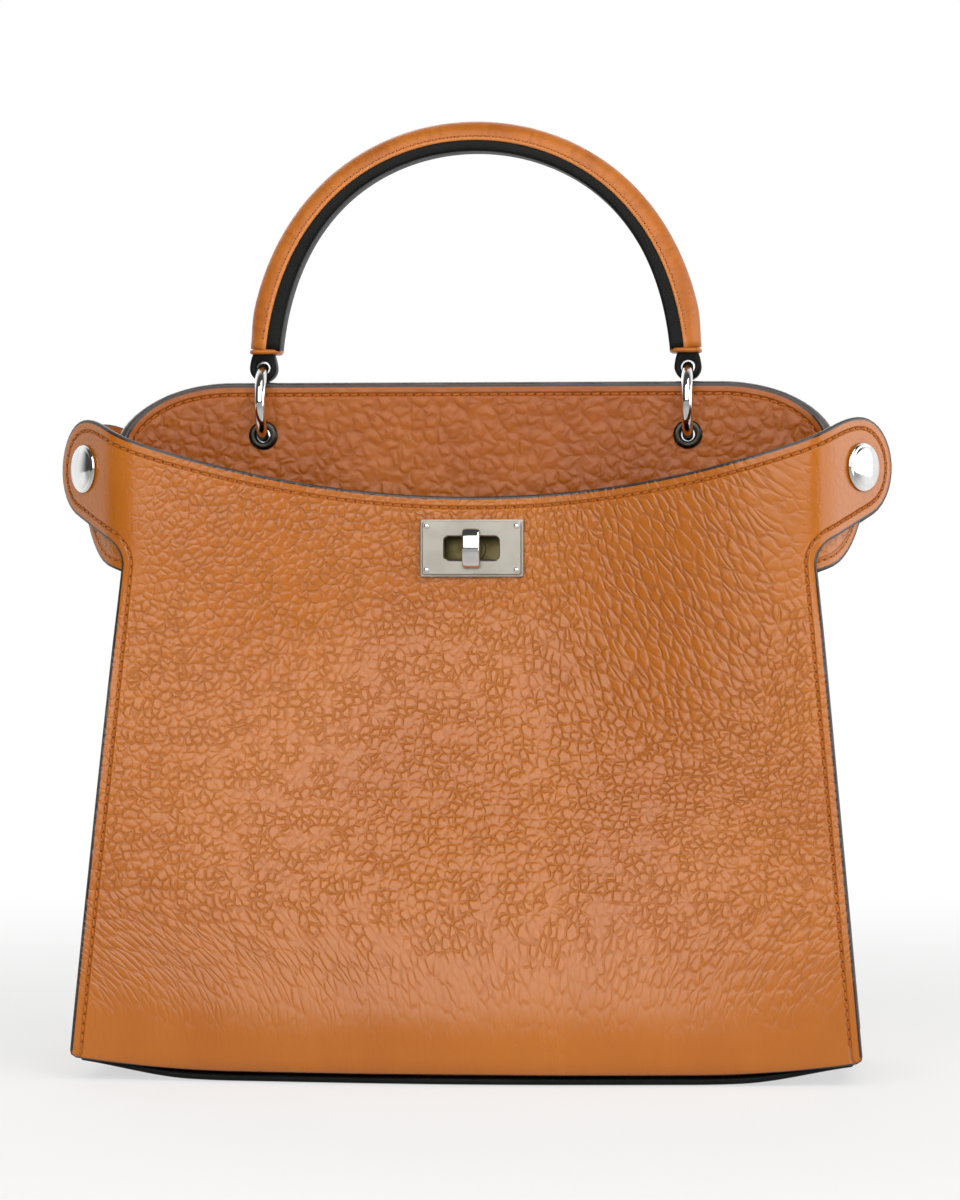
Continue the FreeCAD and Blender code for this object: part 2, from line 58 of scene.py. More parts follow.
# Node maths: a socket that can be added, multiplied and fed to other nodes
class Wire:
    def __init__(self, tree, socket=None):
        self.tree, self.socket = tree, socket

    def put(self, kind, settings=None, sockets=None, out=0):
        node = self.tree.nodes.new(kind)
        for key, value in (settings or {}).items():
            setattr(node, key, value)
        for key, value in (sockets or {}).items():
            if isinstance(value, Wire):
                self.tree.links.new(value.socket, node.inputs[key])
            else:
                node.inputs[key].default_value = value
        return Wire(self.tree, node.outputs[out] if len(node.outputs) else None)

    def maths(self, operation, *values):
        return self.put("ShaderNodeMath", {"operation": operation}, dict(enumerate(values)))

    def __add__(self, other):
        return self.maths("ADD", self, other)

    def __sub__(self, other):
        return self.maths("SUBTRACT", self, other)

    def __rsub__(self, other):
        return self.maths("SUBTRACT", other, self)

    def __mul__(self, other):
        return self.maths("MULTIPLY", self, other)

    __radd__ = __add__

    def ease(self, low, high):  # 0 at low, 1 at high, eased
        kind = {"interpolation_type": "SMOOTHSTEP"}
        return self.put("ShaderNodeMapRange", kind, {"Value": self, "From Min": low, "From Max": high})

    def mixed(self, first, second):  # self is the share of the second colour
        return self.put("ShaderNodeMix", {"data_type": "RGBA"}, {0: self, 6: first, 7: second}, 2)

    def between(self, first, second):  # self is the share of the second value
        return self.put("ShaderNodeMix", {"data_type": "FLOAT"}, {0: self, 2: first, 3: second})


def newFinish(name):
    finish = bpy.data.materials.new(name)
    finish.use_nodes = True
    tree = finish.node_tree
    shader = next(node for node in tree.nodes if node.type == "BSDF_PRINCIPLED")
    return finish, Wire(tree), shader


def feed(tree, shader, **values):  # spaces in a socket's name are written as _
    for key, value in values.items():
        socket = shader.inputs[key.replace("_", " ")]
        if isinstance(value, Wire):
            tree.tree.links.new(value.socket, socket)
        else:
            socket.default_value = value


def linear(red, green, blue):  # screen colour to the light it stands for
    def one(value):
        value /= 255
        return value / 12.92 if value <= 0.04045 else ((value + 0.055) / 1.055) ** 2.4
    return (one(red), one(green), one(blue), 1.0)


def sheetUv(tree):
    return tree.put("ShaderNodeUVMap", {"uv_map": "sheet"})


def objectSpot(tree):
    return tree.put("ShaderNodeTexCoord", None, None, "Object")


def lightPath(tree, ray):
    return tree.put("ShaderNodeLightPath", None, None, f"Is {ray} Ray")


def reading(tree, name):  # a value stored on the mesh
    return tree.put("ShaderNodeAttribute", {"attribute_name": name}, None, "Fac")


def clouds(tree, coords, scale, detail, flat=True, out=0, **more):  # noise on a sheet or through space
    kind = {"noise_dimensions": "2D" if flat else "3D"}
    values = {"Vector": coords, "Scale": scale, "Detail": detail} | more
    return tree.put("ShaderNodeTexNoise", kind, values, out)


def bumped(tree, height, strength, distance):
    return tree.put("ShaderNodeBump", None, {"Height": height, "Strength": strength, "Distance": distance})


# Drift of the grain: share of the wobble and size against the pebbles, slow then uneven
pebbleDrift = ((0.35, 0.35), (1.0, 1.1))
pebblePatch = {"size": 0.42, "from": 0.32, "to": 0.6}


def pebbles(tree, coords, look):
    # Grain between fine creases: rounded height, and how near a spot is to a crease
    scale, seed = 1 / look["pebble"], look["seed"]
    moved = coords
    for share, size in pebbleDrift:
        warp = clouds(tree, coords, scale * size, 1.0, out="Color")
        reach = look["wobble"] * share / (scale * size)
        moved = tree.put("ShaderNodeVectorMath", {"operation": "MULTIPLY_ADD"},
                         {0: warp, 1: (reach,) * 3, 2: moved})
    moved = tree.put("ShaderNodeMapping", None, {"Vector": moved, "Location": (seed, seed * 0.7, 0)})
    cell = {"Vector": moved, "Scale": scale, "Randomness": look["random"]}
    kinds = (("DISTANCE_TO_EDGE", {}), ("SMOOTH_F1", {"Smoothness": look["soft"]}))
    away, near = (tree.put("ShaderNodeTexVoronoi", {"voronoi_dimensions": "2D", "feature": kind}, cell | more)
                  for kind, more in kinds)
    patch = clouds(tree, coords, scale * pebblePatch["size"], 1.0)
    patch = patch.ease(pebblePatch["from"], pebblePatch["to"])
    crease = (1.0 - away.ease(0.0, look["cutWidth"])) * patch.between(look["faint"], 1.0)  # some are faint
    dome = 1.0 - near.ease(0.0, look["reach"])
    return dome * look["dome"] - crease * look["cut"], crease


# Finishes
leatherIor = 1.46


def pebbledLeather(name, look):
    finish, tree, shader = newFinish(name)
    sheet, seam = sheetUv(tree), look["seam"]
    height, crease = pebbles(tree, sheet, look)
    edge = reading(tree, "edge")  # mm from the cut edge
    pressed = edge.ease(seam - look["press"][0], seam + look["press"][1])
    amount = reading(tree, "grain") * pressed.between(look["pressed"], 1.0)
    pores = clouds(tree, sheet, look["poreScale"], 3.0)
    cloud = clouds(tree, sheet, look["cloudScale"], 4.0, Roughness=0.6)
    crease = crease * amount
    gap = edge - seam
    groove = 1.0 - gap.maths("ABSOLUTE", gap).ease(*look["grooveEdge"])
    paint = 1.0 - edge.ease(look["paint"], look["paint"] + look["paintFade"])
    tone = cloud.ease(0.25, 0.75).mixed(look["deep"], look["light"])
    # creases darkened towards the crease colour: painted shade in the creases
    tone = (crease * look["creaseShade"]).mixed(tone, look["crease"])
    # the stitch groove darkened towards the crease colour: painted shade in the groove
    tone = (groove * look["grooveShade"]).mixed(tone, look["crease"])
    tone = paint.mixed(tone, look["ink"])
    height = height * amount * look["depth"] + pores * look["pores"] - groove * look["groove"]
    rough = look["rough"] + (cloud - 0.5) * look["uneven"] + crease * look["creaseRough"]
    feed(tree, shader, Base_Color=tone, Roughness=rough - paint * look["paintGloss"], IOR=leatherIor,
         Normal=bumped(tree, height, look["relief"], look["bump"]), Specular_IOR_Level=look["gloss"])
    return finish


# Tones of the leather; the crease colour is painted shade, laid into the creases and the stitch grooves
leatherLook = {
    "pebble": 0.0030, "wobble": 0.65, "random": 0.9, "seed": 0.0, "soft": 0.25, "reach": 0.9, "dome": 0.2,
    "cut": 0.42, "cutWidth": 0.26, "faint": 0.35, "depth": 1.0, "relief": 0.85, "bump": 0.0007, "creaseShade": 0.26,
    "light": linear(177, 101, 22), "deep": linear(168, 93, 18), "crease": linear(116, 55, 9),
    "ink": linear(46, 41, 40), "paint": 0.3, "paintFade": 0.35, "paintGloss": 0.08, "seam": 3.2,
    "press": (0.4, 3.0), "pressed": 0.3, "groove": 0.8, "grooveEdge": (0.1, 0.9), "grooveShade": 0.32,
    "poreScale": 1300.0, "pores": 0.015, "cloudScale": 14.0, "rough": 0.25, "uneven": 0.10,
    "creaseRough": 0.15, "gloss": 0.6,
}
panelLeather = pebbledLeather("pebbled tan leather", leatherLook)
# Its tones are darker than the panels': painted shade of the inside of the bag
dividerLeather = pebbledLeather("large grain tan leather", leatherLook | {
    "pebble": 0.0044, "wobble": 0.8, "seed": 0.4, "depth": 0.9, "faint": 0.3, "soft": 0.45, "dome": 0.7,
    "cut": 0.3, "cutWidth": 0.34, "light": linear(163, 87, 17), "deep": linear(149, 75, 13), "paint": 0.55,
    "rough": 0.33, "gloss": 0.4})
tabLeather = pebbledLeather("soft tan leather", leatherLook | {"seed": 0.8, "depth": 0.5, "relief": 0.5})


def handleLeather(name, look):
    finish, tree, shader = newFinish(name)
    sheet = sheetUv(tree)
    fine, _ = pebbles(tree, sheet, look)
    across = tree.put("ShaderNodeMapping", None, {"Vector": sheet, "Scale": look["foldStretch"]})
    _, folds = pebbles(tree, across, look | {"pebble": look["fold"], "seed": look["foldSeed"]})
    cloud = clouds(tree, sheet, look["cloudScale"], 3.0)
    tone = cloud.ease(0.3, 0.7).mixed(look["deep"], look["light"])
    # folds darkened towards the crease colour: painted shade in the folds
    tone = (folds * look["creaseShade"]).mixed(tone, look["crease"])
    tone = reading(tree, "edge").ease(0.0, look["worn"]).mixed(look["edgeTone"], tone)
    height = fine * look["fine"] - folds * look["folds"] + cloud * look["uneven"]
    feed(tree, shader, Base_Color=tone, Roughness=look["rough"] + (cloud - 0.5) * 0.1, IOR=leatherIor,
         Normal=bumped(tree, height, look["relief"], look["bump"]), Specular_IOR_Level=look["gloss"])
    return finish


# the crease colour is painted shade, laid into the folds
coverLeather = handleLeather("smooth tan leather", {
    "pebble": 0.0018, "fold": 0.0042, "foldStretch": (1.0, 0.22, 1.0), "foldSeed": 0.9, "wobble": 0.8,
    "random": 0.9, "seed": 0.2, "soft": 0.3, "reach": 0.9, "dome": 0.6, "cut": 0.4, "cutWidth": 0.3,
    "faint": 0.2, "light": linear(184, 106, 32), "deep": linear(171, 94, 24), "crease": linear(122, 58, 14),
    "edgeTone": linear(200, 124, 62), "worn": 1.6, "creaseShade": 0.22, "fine": 0.25, "folds": 0.5, "uneven": 0.2,
    "cloudScale": 40.0, "relief": 0.5, "bump": 0.0003, "rough": 0.40, "gloss": 0.4})


def blackLeather(name, look):
    finish, tree, shader = newFinish(name)
    spot = objectSpot(tree)
    fine = tree.put("ShaderNodeTexVoronoi", {"feature": "DISTANCE_TO_EDGE"},
                    {"Vector": spot, "Scale": look["grain"], "Randomness": 0.9}, "Distance").ease(0.0, 0.3)
    cloud = clouds(tree, spot, 90.0, 3.0, False)
    tone = cloud.ease(0.3, 0.75).mixed(look["deep"], look["light"])
    feed(tree, shader, Base_Color=tone, Roughness=look["rough"] + (cloud - 0.5) * 0.16,
         Normal=bumped(tree, fine * 0.6 + cloud * 0.4, 0.35, 0.0002), Specular_IOR_Level=look["gloss"])
    return finish


strapLeather = blackLeather("black strap leather", {
    "grain": 900.0, "light": linear(19, 20, 19), "deep": linear(10, 11, 10), "rough": 0.48, "gloss": 0.14})
edgePaint = blackLeather("painted edge", {
    "grain": 1500.0, "light": linear(74, 68, 66), "deep": linear(52, 47, 46), "rough": 0.36, "gloss": 0.35})
# Lighter than the panels' edge paint: grey paint with a painted highlight
dividerPaint = blackLeather("painted divider edge", {
    "grain": 1500.0, "light": linear(88, 84, 82), "deep": linear(60, 56, 55), "rough": 0.34, "gloss": 0.4})


def napped(name, look):  # suede and thread
    finish, tree, shader = newFinish(name)
    spot = objectSpot(tree)
    nap, cloud = clouds(tree, spot, 1400.0, 2.0, False), clouds(tree, spot, 35.0, 4.0, False)
    tone = (cloud * 0.6 + nap * 0.4).ease(0.3, 0.7).mixed(look["deep"], look["light"])
    feed(tree, shader, Base_Color=tone, Roughness=look["rough"] + nap * 0.1,
         Normal=bumped(tree, nap, 0.4, 0.0002), Specular_IOR_Level=0.2)
    return finish


suede = napped("suede lining", {"light": linear(168, 94, 38), "deep": linear(140, 74, 26), "rough": 0.82})
threadFinish = napped("waxed thread", {
    "light": linear(186, 102, 36), "deep": linear(150, 76, 22), "rough": 0.55})
# Needle holes: dark brown marks between the stitches, painted shade of the holes
needleHoleShade = napped("needle hole shade", {"light": linear(108, 54, 17), "deep": linear(88, 42, 12), "rough": 0.9})


def metal(name, look):
    finish, tree, shader = newFinish(name)
    spot = objectSpot(tree)
    drawn = tree.put("ShaderNodeMapping", None, {"Vector": spot, "Scale": look["brush"]})
    fine, cloud = clouds(tree, drawn, 1.0, 2.0, False), clouds(tree, spot, 160.0, 2.0, False)
    tone = cloud.ease(0.3, 0.7).mixed(look["deep"], look["light"])
    feed(tree, shader, Base_Color=tone, Metallic=1.0, Roughness=look["rough"] + fine * look["vary"],
         Normal=bumped(tree, fine, look["relief"], 0.00004))
    return finish


satinSteel = metal("satin steel", {
    "light": linear(173, 169, 159), "deep": linear(164, 159, 149), "rough": 0.30, "vary": 0.10,
    "relief": 0.25, "brush": (60.0, 900.0, 4200.0)})
polishedSteel = metal("polished steel", {
    "light": linear(236, 236, 234), "deep": linear(226, 226, 224), "rough": 0.06, "vary": 0.05,
    "relief": 0.06, "brush": (700.0, 700.0, 700.0)})
darkMetal = metal("dark nickel", {
    "light": linear(66, 64, 59), "deep": linear(44, 42, 39), "rough": 0.24, "vary": 0.10, "relief": 0.1,
    "brush": (900.0, 900.0, 900.0)})
oldBrass = metal("aged brass", {
    "light": linear(134, 122, 84), "deep": linear(96, 86, 54), "rough": 0.32, "vary": 0.12, "relief": 0.2,
    "brush": (900.0, 900.0, 900.0)})
print("finishes made:", len(bpy.data.materials))


# Meshes are worked out in mm, front side first; the back is the same mirrored in y
def smooth(t):
    t = min(max(t, 0.0), 1.0)
    return t * t * (3 - 2 * t)


def ramp(value, start, length):  # 0 before the start, 1 past the length, eased
    return smooth((value - start) / length)


def gridQuads(rows, cols):
    return [(r * cols + c, r * cols + c + 1, (r + 1) * cols + c + 1, (r + 1) * cols + c)
            for r in range(rows - 1) for c in range(cols - 1)]


def unit(vectors):
    return vectors / np.maximum(np.linalg.norm(vectors, axis=-1, keepdims=True), 1e-12)


def skinNormals(points, faces):
    normals = np.zeros_like(points)
    for size in (3, 4):
        some = np.array([face for face in faces if len(face) == size], int)
        if len(some):
            corner = points[some]
            flat = np.cross(corner[:, 2] - corner[:, 0], corner[:, -1] - corner[:, 1])
            for side in range(size):
                np.add.at(normals, some[:, side], flat)
    return unit(normals)


def borders(faces):  # loops round the sheet and its holes, with the sheet on their left
    onward = {}
    sides = {(face[i - 1], face[i]) for face in faces for i in range(len(face))}
    for a, b in sides:
        if (b, a) not in sides:
            onward[a] = b
    loops = []
    while onward:
        loop, here = [], min(onward)
        while here in onward:
            loop.append(here)
            here = onward.pop(here)
        loops.append(loop)
    return loops


def edgeDistance(sheet, loops, above, batch=2000):  # mm from each point of the sheet to its outer border
    start = sheet[max(loops, key=len)]
    after = np.roll(start, -1, axis=0)
    kept = np.minimum(start[:, 1], after[:, 1]) > above
    start, step = start[kept], (after - start)[kept]
    length = np.maximum((step ** 2).sum(1), 1e-9)
    found = np.empty(len(sheet))
    for low in range(0, len(sheet), batch):
        gap = sheet[low:low + batch, None, :] - start[None]
        share = np.clip((gap * step).sum(2) / length, 0, 1)
        found[low:low + batch] = np.linalg.norm(gap - share[..., None] * step, axis=2).min(1)
    return found


class Sheet:  # points, faces, what each face is (0 outside, 1 inside, 2 edge) and values on the points
    def __init__(self, points, faces, kinds, laid, marks):
        self.points, self.faces, self.kinds, self.laid, self.marks = points, faces, kinds, laid, marks


def thickSheet(points, faces, sheet, thick, bulge, grain=None, pulled=None, steps=5, rimAbove=-1e6):
    # Outer skin, inner skin and a rounded edge between them
    points, sheet = np.array(points, float), np.array(sheet, float)
    faces = [tuple(dict.fromkeys(face)) for face in faces]
    faces = [face for face in faces if len(face) > 2]
    count, normals, loops = len(points), skinNormals(points, faces), borders(faces)
    source = list(range(count)) * 2
    verts = [points, points - normals * thick]
    kinds = [0] * len(faces) + [1] * len(faces)
    allFaces = faces + [tuple(i + count for i in reversed(face)) for face in faces]
    total = 2 * count
    for loop in loops:
        here, up = points[loop], normals[loop]
        out = unit(np.cross(np.roll(here, -1, 0) - np.roll(here, 1, 0), up))
        rings = [list(loop)]
        for step in range(1, steps):
            turn = math.pi * step / steps
            verts.append(here - up * thick / 2 * (1 - math.cos(turn)) + out * bulge * math.sin(turn))
            rings.append(list(range(total, total + len(loop))))
            source += loop
            total += len(loop)
        rings.append([i + count for i in loop])
        for near, far in zip(rings, rings[1:]):
            for i in range(len(loop)):
                allFaces.append((near[i], near[i - 1], far[i - 1], far[i]))
                kinds.append(2)
    edge = edgeDistance(sheet, loops, rimAbove)
    values = {"edge": edge[source], "grain": np.ones(total) if grain is None else grain[source]}
    values["edge"][2 * count:] = 0.0
    laid = sheet if pulled is None else pulled
    return Sheet(np.vstack(verts), allFaces, kinds, laid[source] * mm, values)


def plainSheet(points, faces, sheet=None, marks=None, kinds=None):
    points = np.array(points, float)
    count = len(points)
    laid = (np.array(sheet, float) if sheet is not None else np.zeros((count, 2))) * mm
    values = {"edge": np.full(count, 50.0), "grain": np.ones(count)}
    values |= {key: np.array(value, float) for key, value in (marks or {}).items()}
    return Sheet(points, [tuple(face) for face in faces], kinds or [0] * len(faces), laid, values)


def joined(*parts):
    faces, kinds, low = [], [], 0
    for part in parts:
        faces += [tuple(i + low for i in face) for face in part.faces]
        kinds += part.kinds
        low += len(part.points)
    marks = {key: np.concatenate([part.marks[key] for part in parts]) for key in parts[0].marks}
    points, laid = (np.vstack([getattr(part, key) for part in parts]) for key in ("points", "laid"))
    return Sheet(points, faces, kinds, laid, marks)


def flipped(part, axis):  # mirrored in x (0) or y (1), still facing outwards
    points = part.points.copy()
    points[:, axis] *= -1
    return Sheet(points, [tuple(reversed(face)) for face in part.faces], part.kinds, part.laid, part.marks)


def addPiece(name, mesh, body, nodes):
    piece = bpy.data.objects.new(name, mesh)
    scene.collection.objects.link(piece)
    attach(piece, body)
    if nodes:
        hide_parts(*nodes)


def makePiece(name, part, finishes, body, nodes, shadeSmooth=True):
    mesh = bpy.data.meshes.new(name)
    mesh.from_pydata((part.points * mm).tolist(), [], part.faces)
    for finish in finishes:
        mesh.materials.append(finish)
    last = len(finishes) - 1
    mesh.polygons.foreach_set("material_index", [min(kind, last) for kind in part.kinds])
    mesh.polygons.foreach_set("use_smooth", [shadeSmooth] * len(mesh.polygons))
    corners = np.empty(len(mesh.loops), int)
    mesh.loops.foreach_get("vertex_index", corners)
    mesh.uv_layers.new(name="sheet").data.foreach_set("uv", part.laid[corners].ravel())
    for key, values in part.marks.items():
        mesh.attributes.new(key, "FLOAT", "POINT").data.foreach_set("value", values)
    mesh.validate()
    mesh.update()
    addPiece(name, mesh, body, nodes)


def makeMirrored(name, node, part, finishes, sides=("",)):
    # The front right shape and its mirror images; {face} and {side} in the names are filled in
    for side in sides:
        half = flipped(part, 0) if side == "left" else part
        for face, shape in (("front", half), ("back", flipped(half, 1))):
            words = {"face": face, "side": side}
            makePiece(name.format(**words), shape, finishes, "bag", [node.format(**words)])


# Plan of a panel at each height, and the leather past the bend of an ear
plan = {
    "baseHalf": 132.4, "armpitHalf": 116.6, "armpit": 172.4, "depth": 57.0, "sideDepth": 49.0,
    "sideTop": 37.0, "lockDepth": 13.4, "lockZ": 178.0, "flat": 19.75, "margin": 6.0, "roll": 9.0,
    "rollStart": 0.4, "leanEnd": 162.15, "bend": 52.0, "bendFrom": 132.4, "bendEnd": 178.4,
    "bendLength": 12.706, "bendSoft": 22.0, "bendSteps": 12, "top": 195.0, "rise": 17.7, "keelFlat": 76.0,
    "keelRise": 4.5, "studW": 139.506, "studZ": 205.1, "ear": 16.3,
}
softSet = {"scale": 0.017, "start": (4.2, 1.3, 0.5), "slow": 0.9, "quick": 0.25, "quicker": 2.7,
           "lockSide": (20, 40), "lockLow": (130, 30), "foot": (8, 30)}


def halfWidth(z):
    return plan["baseHalf"] - (plan["baseHalf"] - plan["armpitHalf"]) * min(z / plan["armpit"], 1.0)


def rollIn(z):
    low = plan["roll"] - min(max(z, plan["rollStart"]), plan["roll"])
    return plan["roll"] - math.sqrt(plan["roll"] ** 2 - low ** 2)


def centreDepth(z):
    share = smooth((z - plan["roll"]) / (plan["leanEnd"] - plan["roll"]))
    return plan["depth"] - (plan["depth"] - plan["lockDepth"]) * share - rollIn(z)


def sideDepth(z):
    return plan["sideDepth"] - (plan["sideDepth"] - plan["sideTop"]) * smooth(z / plan["armpit"]) - rollIn(z)


def keel(x):  # underside of the base
    run = plan["baseHalf"] - plan["keelFlat"]
    radius = (run ** 2 + plan["keelRise"] ** 2) / (2 * plan["keelRise"])
    past = max(abs(x) - plan["keelFlat"], 0.0)
    return radius - math.sqrt(radius ** 2 - past ** 2)


def topEdge(w):
    half = plan["armpitHalf"] - plan["margin"]
    radius = (half ** 2 + plan["rise"] ** 2) / (2 * plan["rise"])
    w = abs(w)
    if w <= half:
        return plan["top"] + radius - math.sqrt(radius ** 2 - w ** 2)
    span = plan["studW"] - half  # eased over to the top of the ear
    t = min((w - half) / span, 1.0)
    slope = half / math.sqrt(radius ** 2 - half ** 2) * span
    low, high = plan["top"] + plan["rise"], plan["studZ"] + plan["ear"]
    return ((2 * t ** 3 - 3 * t * t + 1) * low + (t ** 3 - 2 * t * t + t) * slope
            + (3 * t * t - 2 * t ** 3) * high)


def softness(w, z):  # slow hand-made unevenness of the leather, mm
    x, y, depth = softSet["start"]
    spot = Vector((w * softSet["scale"] + x, z * softSet["scale"] + y, depth))
    fade = 1.0 - (1.0 - ramp(abs(w), *softSet["lockSide"])) * ramp(z, *softSet["lockLow"])
    uneven = noise.noise(spot) * softSet["slow"] + noise.noise(spot * softSet["quicker"]) * softSet["quick"]
    return uneven * fade * ramp(z, *softSet["foot"])


def panelPoint(w, z, inset=0.0):
    side, a = (1 if w >= 0 else -1), abs(w)
    start, centre, edge = halfWidth(z) - plan["margin"], centreDepth(z), sideDepth(z)
    inset = inset - softness(w, z)
    begin = start - (plan["bendSoft"] - plan["bendLength"]) / 2  # bends more gently than the board under it
    flat = min(a, begin)
    share = min(max((flat - plan["flat"]) / (start - plan["flat"]), 0.0), 1.0)
    x, y = flat, -(centre + (edge - centre) * smooth(share))
    lead = math.atan((edge - centre) * 6 * share * (1 - share) / (start - plan["flat"]))
    angle = math.radians(plan["bend"]) * smooth((z - plan["bendFrom"]) / (plan["bendEnd"] - plan["bendFrom"]))
    length = max(a - begin, 0.0)
    along, steps = min(length, plan["bendSoft"]), plan["bendSteps"]
    for step in range(steps if along > 0 else 0):
        turn = (lead + angle) * smooth(along * (step + 0.5) / steps / plan["bendSoft"]) - lead
        x, y = x + along / steps * math.cos(turn), y + along / steps * math.sin(turn)
    turn = (lead + angle) * smooth(along / plan["bendSoft"]) - lead
    x += (length - along) * math.cos(turn) - inset * math.sin(turn)
    y += (length - along) * math.sin(turn) + inset * math.cos(turn)
    return side * x, y, z


# Front and back panels
panelSet = {"leather": 1.6, "edgeBulge": 0.6, "cols": 132, "lowRows": 64, "earRows": 38, "earCols": 18,
            "rowsEase": 1.3, "bottomLift": 3.7, "footRound": 1.8, "rimAbove": 8.8, "sideFrom": 8.9,
            "seam": 3.2, "slot": (20.0, 9.0), "leave": -70.0, "neckSteps": 7, "topOverlap": 0.6,
            "armpit": ((116.6, 172.4), (116.9, 179.0), (124.6, 181.7))}
# Where the grain is worked smooth: (start, length) of each ramp and how much
calmSet = {"ear": (90, 26), "earLow": (151, 24), "earShare": 0.88, "footTop": 58, "footLength": 48,
           "footShare": 0.93}
# The grain is drawn out towards the lower right beside the lock, and upright low down
drawnSet = {"tilt": -57, "middle": (34.0, 128.0), "right": (-6, 62), "low": (74, 74), "ear": (92, 26),
            "earShare": 0.7, "along": 0.55, "across": 0.10, "footRate": 0.42, "foot": (22, 56), "wide": 0.25,
            "wideTop": 64, "wideLength": 44}


def panelEdge(z):  # half width of the sheet below the armpit, rounded at the foot
    r = panelSet["footRound"]
    h = min(max(z - keel(plan["baseHalf"] - r) - panelSet["bottomLift"], 0.0), r)
    return halfWidth(z) - (r - math.sqrt(r * r - (r - h) ** 2))


def earBorder():  # border of an ear in the flat sheet, from the armpit round to the top edge
    low, crook, past = panelSet["armpit"]
    points = []
    for step in range(13):
        t = step / 12
        points.append([(1 - t) ** 2 * low[i] + 2 * t * (1 - t) * crook[i] + t * t * past[i] for i in (0, 1)])
    for step in range(49):
        angle = math.radians(panelSet["leave"] + (90 - panelSet["leave"]) * step / 48)
        points.append([plan["studW"] + plan["ear"] * math.cos(angle),
                       plan["studZ"] + plan["ear"] * math.sin(angle)])
    return points


def topBorder(end, count):  # top edge from the ear towards the middle
    return [(w, topEdge(w)) for w in np.linspace(plan["studW"] - panelSet["topOverlap"], end, count)]


def rounded(points, times):  # cuts the corners of an open line again and again
    points = np.array(points, float)
    for _ in range(times):
        near, far = points[:-1] * 0.75 + points[1:] * 0.25, points[:-1] * 0.25 + points[1:] * 0.75
        points = np.vstack([points[:1], np.stack([near, far], 1).reshape(-1, 2), points[-1:]])
    return points


def evenly(points, count):
    points = np.array(points, float)
    length = np.concatenate([[0], np.cumsum(np.linalg.norm(np.diff(points, axis=0), axis=1))])
    marks = np.linspace(0, length[-1], count)
    return np.stack([np.interp(marks, length, points[:, i]) for i in range(points.shape[1])], 1)


rampEach = np.vectorize(ramp)


def drawnGrain(w, z):
    tilt, middle = math.radians(drawnSet["tilt"]), drawnSet["middle"]
    pull = rampEach(w, *drawnSet["right"]) * rampEach(z, *drawnSet["low"])
    pull = pull * (1 - drawnSet["earShare"] * rampEach(w, *drawnSet["ear"]))
    right, up = w - middle[0], z - middle[1]
    c, s = math.cos(tilt), math.sin(tilt)
    along, across = right * c + up * s, up * c - right * s
    along, across = along * (1 - drawnSet["along"] * pull), across * (1 + drawnSet["across"] * pull)
    right, up = along * c - across * s, along * s + across * c
    heights, step = np.linspace(-40, 320, 721, retstep=True)
    rate = drawnSet["footRate"] + (1 - drawnSet["footRate"]) * rampEach(heights, *drawnSet["foot"])
    wide = rampEach(drawnSet["wideTop"] - z, 0, drawnSet["wideLength"])
    return np.stack([right * (1 + drawnSet["wide"] * wide),
                     np.interp(up + middle[1], heights, np.cumsum(rate) * step)], 1)


def outsideSlot(flat, face):  # the slot for the lock stays open
    w, z = np.mean([flat[i] for i in face], axis=0)
    return abs(w) > panelSet["slot"][0] / 2 or abs(z - plan["lockZ"]) > panelSet["slot"][1] / 2


def panelSheet():
    cols, lows, highs, ears = (panelSet[key] for key in ("cols", "lowRows", "earRows", "earCols"))
    flat, index = [], {}
    neck = np.array(earBorder()[:panelSet["neckSteps"]])  # the side follows the armpit up to the ear
    for r in range(lows + highs + 1):
        for c in range(cols + 1):
            u, z = -1 + 2 * c / cols, 80.0 if r <= lows else plan["armpit"]
            for _ in range(4):  # width and height depend on each other
                if r <= lows:
                    w = u * panelEdge(z)
                    bottom = keel(w) + panelSet["bottomLift"]
                    z = bottom + (plan["armpit"] - bottom) * (r / lows) ** panelSet["rowsEase"]
                else:
                    w = u * np.interp(z, neck[:, 1], neck[:, 0])
                    z = plan["armpit"] + (topEdge(w) - plan["armpit"]) * (r - lows) / highs
            index[r, c] = len(flat)
            flat.append((w, z))
    faces = []
    for r in range(lows + highs):
        for c in range(cols):
            face = (index[r, c], index[r, c + 1], index[r + 1, c + 1], index[r + 1, c])
            if outsideSlot(flat, face):
                faces.append(face)
    first = max(k for k in range(highs) if flat[index[lows + k, cols]][1] <= neck[-1, 1])
    leave = flat[index[lows + first, cols]]
    border = [leave] + [p for p in earBorder() if p[1] > leave[1] + 0.05] + topBorder(neck[-1, 0], 24)
    border = evenly(border, highs - first + 1)
    for side, edge in ((-1, 0), (1, cols)):

        def spot(k, e):
            if e == 0 or k in (first, highs):
                return index[lows + k, edge]
            if (side, k, e) not in index:
                inner, outer = flat[index[lows + k, edge]], border[k - first]
                share = e / ears
                index[side, k, e] = len(flat)
                flat.append((side * (abs(inner[0]) + (outer[0] - abs(inner[0])) * share),
                             inner[1] + (outer[1] - inner[1]) * share))
            return index[side, k, e]

        for k in range(first, highs):
            for e in range(ears):
                face = (spot(k, e), spot(k, e + 1), spot(k + 1, e + 1), spot(k + 1, e))
                faces.append(face if side > 0 else tuple(reversed(face)))
    flat = np.array(flat)
    points = [panelPoint(w, z) for w, z in flat]
    w, z = flat[:, 0], flat[:, 1]
    calm = rampEach(np.abs(w), *calmSet["ear"]) * rampEach(z, *calmSet["earLow"]) * calmSet["earShare"]
    calm = np.maximum(calm, rampEach(calmSet["footTop"] - z, 0, calmSet["footLength"]) * calmSet["footShare"])
    return thickSheet(points, faces, flat, panelSet["leather"], panelSet["edgeBulge"], 1 - calm,
                      drawnGrain(w, z), rimAbove=panelSet["rimAbove"])


